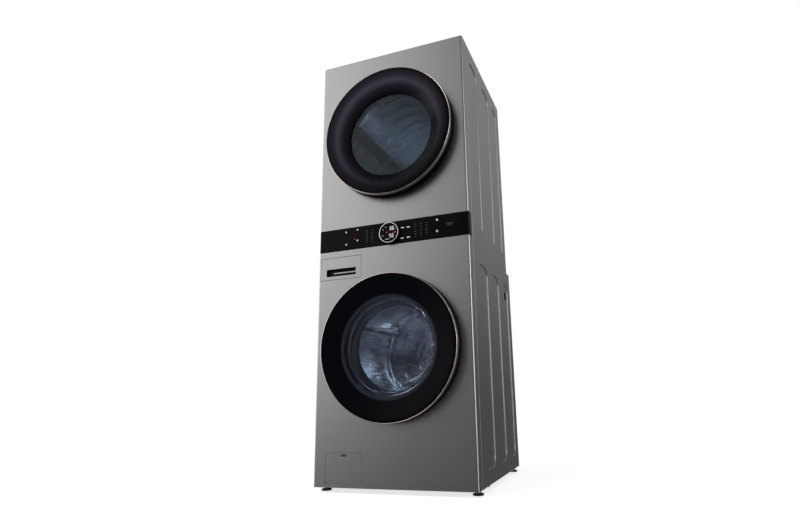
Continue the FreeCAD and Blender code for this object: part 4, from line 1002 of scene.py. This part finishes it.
# smoked glass whose black print fades out towards the clear middle
def fadingGlass(name, axis):
    g = washerGlass
    material = newMaterial(name, g["gloss"])
    nodes = material.node_tree.nodes
    shader = shaderOf(material)
    reach = distanceFrom(axis, nodes)[1]
    fade = nodes.new("ShaderNodeMapRange")
    fade.interpolation_type = "SMOOTHSTEP"
    for socket, value in (("From Min", g["clearEdge"] * mm), ("From Max", g["solidEdge"] * mm),
                          ("To Min", 1.0), ("To Max", 0.0)):
        fade.inputs[socket].default_value = value
    tint = nodes.new("ShaderNodeValToRGB")
    tint.color_ramp.elements[0].color = g["print"]
    tint.color_ramp.elements[1].color = g["tint"]
    tint.color_ramp.elements.new(g["thinPlace"]).color = g["thinPrint"]
    link(reach, "Value", fade, "Value")
    link(fade, "Result", shader, "Transmission Weight")
    link(fade, "Result", tint, "Fac")
    link(tint, "Color", shader, "Base Color")
    return material


def makeWasherDoor():
    rim = turned("washerDoorRim", washerAxis, rimProfile([(291.2, -48.4), (290.4, -49.3), (287.2, -49.4),
                                                          (286.8, -44)]), 192)
    cutAway(rim, hingeSlots(washerAxis))
    finishPiece(rim, "blackGloss", "washer_door", ["washer_door_rim"], 40)
    makeTrimRing("washerTrimRing", "washer_door_trim_ring", "washer_door", washerAxis)
    outside = smoothPath([
        (0, -29), (100, -29.3), (170, -30), (200, -31.6), (220, -35), (240, -40), (262, -45.5),
        (276, -48.4), (285, -49.4)], 4)
    inside = smoothPath([
        (285.2, -45.4), (276, -44.2), (262, -41.5), (240, -36), (220, -31), (200, -27.6), (170, -26),
        (100, -25.3), (0, -25)], 4)
    glass = turned("washerDoorGlass", washerAxis, outside + inside, 160, closed=False)
    finishes["fadingGlass"] = fadingGlass("fadingGlass", washerAxis)
    finishPiece(glass, "fadingGlass", "washer_door", ["washer_door_glass"])
    thick = washerGlass["beadRadius"]
    for number, (radius, depth) in enumerate(washerGlass["beads"], 1):
        bead = turned("washerBowlBead" + str(number), washerAxis, [
            (radius + thick * math.cos(step * math.pi / 5), depth + thick * math.sin(step * math.pi / 5))
            for step in range(10)], 192)
        finishPiece(bead, "polished", "washer_door")
    outer = smoothPath([
        (225, -8.6), (197, -8.6), (188, -5), (184, 4), (176, 36), (169, 60), (162, 82), (152, 97),
        (136, 106), (100, 110.5), (50, 112), (0, 112)], 3)
    inner = smoothPath([
        (0, 107.5), (50, 107.4), (98, 106), (133, 101.5), (148, 93), (157.5, 79), (164.5, 58), (171.5, 34),
        (179.5, 2), (184, -7), (194, -12.6), (225, -12.6)], 3)
    bowl = turned("washerDoorBowl", washerAxis, outer + inner, 160, closed=False)
    tidyMesh(bowl)
    finishPiece(bowl, "clearGlass", "washer_door", ["washer_door_bowl"])
    print("washer door made")


# washer inside
def makeGasket():
    front = smoothPath([
        (203, 1.8), (200, 6), (199.5, 14), (201, 22), (206, 27), (209, 31), (206, 35), (200, 39), (198, 45),
        (192, 51), (184, 54), (178, 55), (176, 58), (179, 61), (187, 62.5), (197, 61.5)], 4)
    back = smoothPath([
        (205, 60), (206, 46), (209, 40), (213, 35), (214, 31), (213, 27), (208, 22), (206, 14), (207, 7),
        (215, 6), (217, 4), (215, 1.8)], 4)
    gasket = turned("doorGasket", washerAxis, front + back, 144)
    finishPiece(gasket, "greyRubber", "cabinet", ["door_gasket"], 60)
    print("gasket made")


drumSettings = {
    "radius": 274.5,
    "front": 86,
    "rear": 559,
    "around": 96,
    "rows": 22,
    "holeShare": 0.30,
    "sheet": 1.0 * mm,
    "plainEnds": 18,
}


# the wall is a ring of small panels, each inset, opened and rounded
def makeWashDrum():
    d = drumSettings
    start, end = d["front"] + d["plainEnds"], d["rear"] - d["plainEnds"]
    rows = [(d["radius"], start + (end - start) * step / d["rows"]) for step in range(d["rows"] + 1)]
    wall = turned("washDrumWall", washerAxis, rows, d["around"], closed=False)
    pick(wall)
    enterEdit()
    bpy.ops.mesh.select_mode(type="FACE")
    bpy.ops.mesh.select_all(action="SELECT")
    bpy.ops.mesh.inset(thickness=d["radius"] * mm * math.pi / d["around"] * (1 - d["holeShare"]),
                       use_individual=True, use_even_offset=True)
    bpy.ops.mesh.delete(type="FACE")
    leaveEdit()
    modify(wall, "SUBSURF", levels=1, render_levels=1)
    modify(wall, "SOLIDIFY", thickness=d["sheet"], offset=1)
    finishPiece(wall, "stainless", "wash_drum_assembly", ["wash_drum"], 50)

    outer = d["radius"]
    lip = turned("washDrumFrontLip", washerAxis, smoothPath([
        (outer + 0.6, start), (outer + 0.6, 94), (271, 88), (262, 85.6), (240, 85.4), (226, 86.5), (222.6, 90),
        (224, 92.5), (228, 89), (241, 87.4), (261, 87.8), (268, 90), (273.4, 96), (273.6, start)], 3), 144)
    finishPiece(lip, "stainless", "wash_drum_assembly", [], 50)
    back = turned("washDrumRear", washerAxis, smoothPath([
        (0, 548), (40, 548), (58, 549), (66, 556), (80, 558.6), (110, 557), (120, 553), (190, 553), (202, 557),
        (240, 558), (262, 555), (272, 548), (274.6, end)], 3)
        + [(275.6, end), (274.6, 553), (262, 558.6), (200, 560), (66, 560), (0, 560)], 144, closed=False)
    finishPiece(back, "stainless", "wash_drum_assembly", [], 50)
    print("washer drum made")


ribSettings = {
    "topWidth": 24,
    "baseWidth": 62,
    "height": 46,
    "soften": 3.5 * mm,
    # the back is shortened, stepped in and raised to a crown
    "backShare": 0.88,
    "step": 4 * mm,
    "crownShare": 0.9,
    "crown": 3 * mm,
}


# three ribs with tapered, rounded backs inside a drum
def makeRibs(name, node, axis, radius, body, finish):
    r = ribSettings
    low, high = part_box(node)
    seat = axis.z - radius * mm
    half = r["baseWidth"] / 2 * mm
    rib = boxBetween("rib", (-half, low.y, seat), (half, high.y, seat + r["height"] * mm))
    pick(rib)
    selectFaces(rib, lambda face: face.normal.z > 0.5)
    squeeze = r["topWidth"] / r["baseWidth"]
    middle = (0, (low.y + high.y) / 2, seat + r["height"] * mm)
    bpy.ops.transform.resize(value=(squeeze, r["backShare"], 1), center_override=middle)
    bpy.ops.mesh.inset(thickness=r["step"])
    bpy.ops.transform.resize(value=(1, r["crownShare"], 1), center_override=middle)
    bpy.ops.transform.translate(value=(0, 0, r["crown"]))
    leaveEdit()
    roundEdges(rib, r["soften"], 3, 20)
    ribs = copiesAround(rib, Vector((0, 0, axis.z)), 3, name)
    finishPiece(ribs, finish, body, [node], 60)


# pressed grooves round the drum; steps are radius and distance from the groove's start
dryerDrumBands = {"count": 5, "first": 110, "pitch": 82,
                  "steps": ((308.6, 0), (306.4, 8), (306.4, 26), (308.6, 34))}


def makeDryerDrum():
    b = dryerDrumBands
    wall = [(308.8, 60)]
    for band in range(b["count"]):
        start = b["first"] + band * b["pitch"]
        wall += [(radius, start + along) for radius, along in b["steps"]]
    wall += [(308.8, 522)]
    inner = smoothPath([(302, 57.5)] + wall + [(302, 523)], 2)
    drum = turned("dryerDrumShell", dryerAxis,
                  [(302, 56.4)] + inner + [(302, 524), (310, 524), (310, 56.4)], 144)
    finishPiece(drum, "stainless", "dryer_drum_assembly", ["dryer_drum"], 50)
    print("dryer drum made")


# drawer and flap
drawerPull = {
    # lowest and highest corner as across, depth behind the front and height, then rounding and its steps
    "slot": ((-304, -10, 871), (-163, 14, 902), 3, 4),
    "lining": ((-304.4, 1.5, 870.6), (-162.6, 14.6, 902.4), 3, 4),
    "hollow": ((-302.8, -10, 872.2), (-164.2, 12.8, 900.8), 2.4, 4),
    "bar": ((-270, 2, 881), (-164.4, 12.9, 886), 1.2, 3),
}

flapSettings = {
    "notch": ((-221, -10, 135), (-195, 1.8, 146), 4.5, 6),
    "tab": ((-219, 1.2, 136.4), (-197, 2.2, 144.6), 3.5, 6),
    "round": 12 * mm,
    "rollShort": 24 * mm,
}


def frontBlock(name, low, high, radius, steps):
    ends = [(x * mm, frontY + depth * mm, z * mm) for x, depth, z in (low, high)]
    return roundedBlock(name, *ends, 1, radius * mm, steps)


def makeDrawerFront():
    piece = boxBetween("drawerFace", *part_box("drawer_front"))
    cutAway(piece, [frontBlock("slot", *drawerPull["slot"])])
    roundEdges(piece, 0.8 * mm, 3, 40)
    finishPiece(piece, "graphiteSteel", "detergent_drawer", ["drawer_front"])
    lining = frontBlock("drawerPullLining", *drawerPull["lining"])
    cutAway(lining, [frontBlock("hollow", *drawerPull["hollow"])])
    roundEdges(lining, 0.3 * mm, 2, 40)
    finishPiece(lining, "blackGloss", "detergent_drawer")
    bar = frontBlock("drawerPullBar", *drawerPull["bar"])
    roundEdges(bar, 0.5 * mm, 2, 40)
    finishPiece(bar, "graphiteSteel", "detergent_drawer")
    print("drawer front made")


def makeFlap():
    f = flapSettings
    low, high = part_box("filter_flap")
    roll = (high.y - low.y) / 2
    piece = roundedBlock("serviceFlap", (low.x, low.y, low.z + roll), high, 1, f["round"], 8)
    cutAway(piece, [frontBlock("notch", *f["notch"])])
    roundEdges(piece, 0.7 * mm, 3, 40)
    hinge = barrel("roll", ((low.x + high.x) / 2, low.y + roll, low.z + roll), roll,
                   high.x - low.x - f["rollShort"], "X", 24)
    piece = joined("serviceFlap", [piece, hinge])
    finishPiece(piece, "graphiteSteel", "pump_flap", ["filter_flap"])
    tab = frontBlock("flapLatchTab", *f["tab"])
    finishPiece(tab, "darkPlastic", "pump_flap")
    print("service flap made")


# feet
footSettings = {
    "pad": ((0, 0), (19.5, 0), (20.6, 0.8), (21, 2), (21, 4.6), (19.8, 6), (17.4, 7), (13, 7.8), (9, 8.2),
            (0, 8.2)),
    "nutRadius": 10.5 * mm,
    "nutHeight": 6 * mm,
    "nutLevel": 12 * mm,
    "threads": 16,
    "pitch": 2.4,
    "threadStart": 8.4,
    "core": 5.2,
    "crest": 6.0,
    "stemTop": 50,
}


def makeFeet():
    f = footSettings
    threads = [(0, 8)]
    for turn in range(f["threads"]):
        z = f["threadStart"] + turn * f["pitch"]
        threads += [(f["core"], z), (f["crest"], z + 0.8), (f["crest"], z + 1.2), (f["core"], z + 2.0)]
    threads += [(f["core"], f["stemTop"] - 1), (0, f["stemTop"])]
    for place in ("front_left", "front_right", "rear_left", "rear_right"):
        node, body = "foot_" + place, place + "_foot"
        low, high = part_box(node)
        centre = Vector(((low.x + high.x) / 2, (low.y + high.y) / 2, low.z))
        pad = turned(node + "Pad", centre, f["pad"], 48, closed=False, upright=True)
        finishPiece(pad, "blackRubber", body, [node])
        clearSelection()
        bpy.ops.mesh.primitive_cylinder_add(vertices=6, radius=f["nutRadius"], depth=f["nutHeight"],
                                            location=centre + Vector((0, 0, f["nutLevel"])))
        nut = settle(bpy.context.object, node + "Nut")
        roundEdges(nut, 0.6 * mm, 2, 40)
        finishPiece(nut, "steelFittings", body)
        stem = turned(node + "Stem", centre, threads, 24, closed=False, upright=True)
        finishPiece(stem, "steelFittings", body)
    print("feet made")


# tub springs
springSettings = {"wire": 2.2, "turns": 15, "steps": 20, "hook": 3.0}


def makeSprings():
    s = springSettings
    low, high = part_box("suspension_springs")
    coil = (high.y - low.y) / 2 - s["wire"] * mm
    middle = (low.y + high.y) / 2
    span = high.z - low.z - 2 * s["wire"] * mm
    springs = []
    for x in (low.x + coil + s["wire"] * mm, high.x - coil - s["wire"] * mm):
        clearSelection()
        bpy.ops.mesh.primitive_circle_add(vertices=8, radius=s["wire"] * mm, rotation=(math.pi / 2, 0, 0))
        wire = bpy.context.object
        bpy.ops.object.transform_apply(location=True, rotation=True, scale=True)
        enterEdit()
        bpy.ops.mesh.select_all(action="SELECT")
        bpy.ops.transform.translate(value=(coil, 0, 0))
        leaveEdit()
        modify(wire, "SCREW", axis="Z", iterations=s["turns"], screw_offset=span / s["turns"],
               steps=s["steps"], render_steps=s["steps"])
        wire.location = (x, middle, low.z + s["wire"] * mm)
        springs.append(settle(wire, "spring"))
    piece = joined("tubSprings", springs)
    tidyMesh(piece)
    finishPiece(piece, "steelFittings", None, ["suspension_springs"])
    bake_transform(piece)
    print("tub springs made")


# pieces that keep the frame's own shape
keptFinishes = {
    "galvanised": ["base_frame", "middle_deck", "dryer_rear_bulkhead", "dryer_front_bulkhead",
                   "heater_housing", "blower_housing"],
    "steelFittings": ["motor_shaft", "motor_rotor", "damper_rods"],
    # the hinge parts get the near-black steel that paints shade into the hinge slots
    "hingeSteelPaintedShade": ["door_hinge_brackets", "dryer_door_hinge_leaf", "washer_door_hinge_leaf"],
    "darkPlastic": ["dryer_door_inner_frame", "washer_door_inner_frame", "door_latch_units", "lint_filter",
                    "power_terminal_block", "pump_filter_cap", "damper_cylinders", "blower_wheel"],
    "greyPlastic": ["tub_front", "tub_rear", "dispenser_housing", "drain_pump", "drawer_tray"],
    "whitePlastic": ["dryer_door_latch_hook", "washer_door_latch_hook", "inlet_valves"],
    "castAluminium": ["wash_drum_spider"],
    "motorPaint": ["dryer_motor"],
    "blackRubber": ["support_roller_left", "support_roller_right", "drive_belt"],
}


def dressFrame():
    for finish, names in keptFinishes.items():
        for name in names:
            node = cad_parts[name]
            node.data.materials.clear()
            node.data.materials.append(finishes[finish])
            smooth(node, 30)
    print("frame dressed")


addCamera()
addStudio()
addLights()
makeFronts()
makeCabinets()
makeTop()
makeControlBand()
makeDial()
makeDryerDoor()
makeWasherDoor()
makeGasket()
makeWashDrum()
makeRibs("washDrumLifters", "wash_drum_lifters", washerAxis, 271.5, "wash_drum_assembly",
         "stainless")
makeDryerDrum()
makeRibs("dryerBaffles", "dryer_baffles", dryerAxis, 305.5, "dryer_drum_assembly",
         "slatePlastic")
makeDrawerFront()
makeFlap()
makeFeet()
makeSprings()
dressFrame()
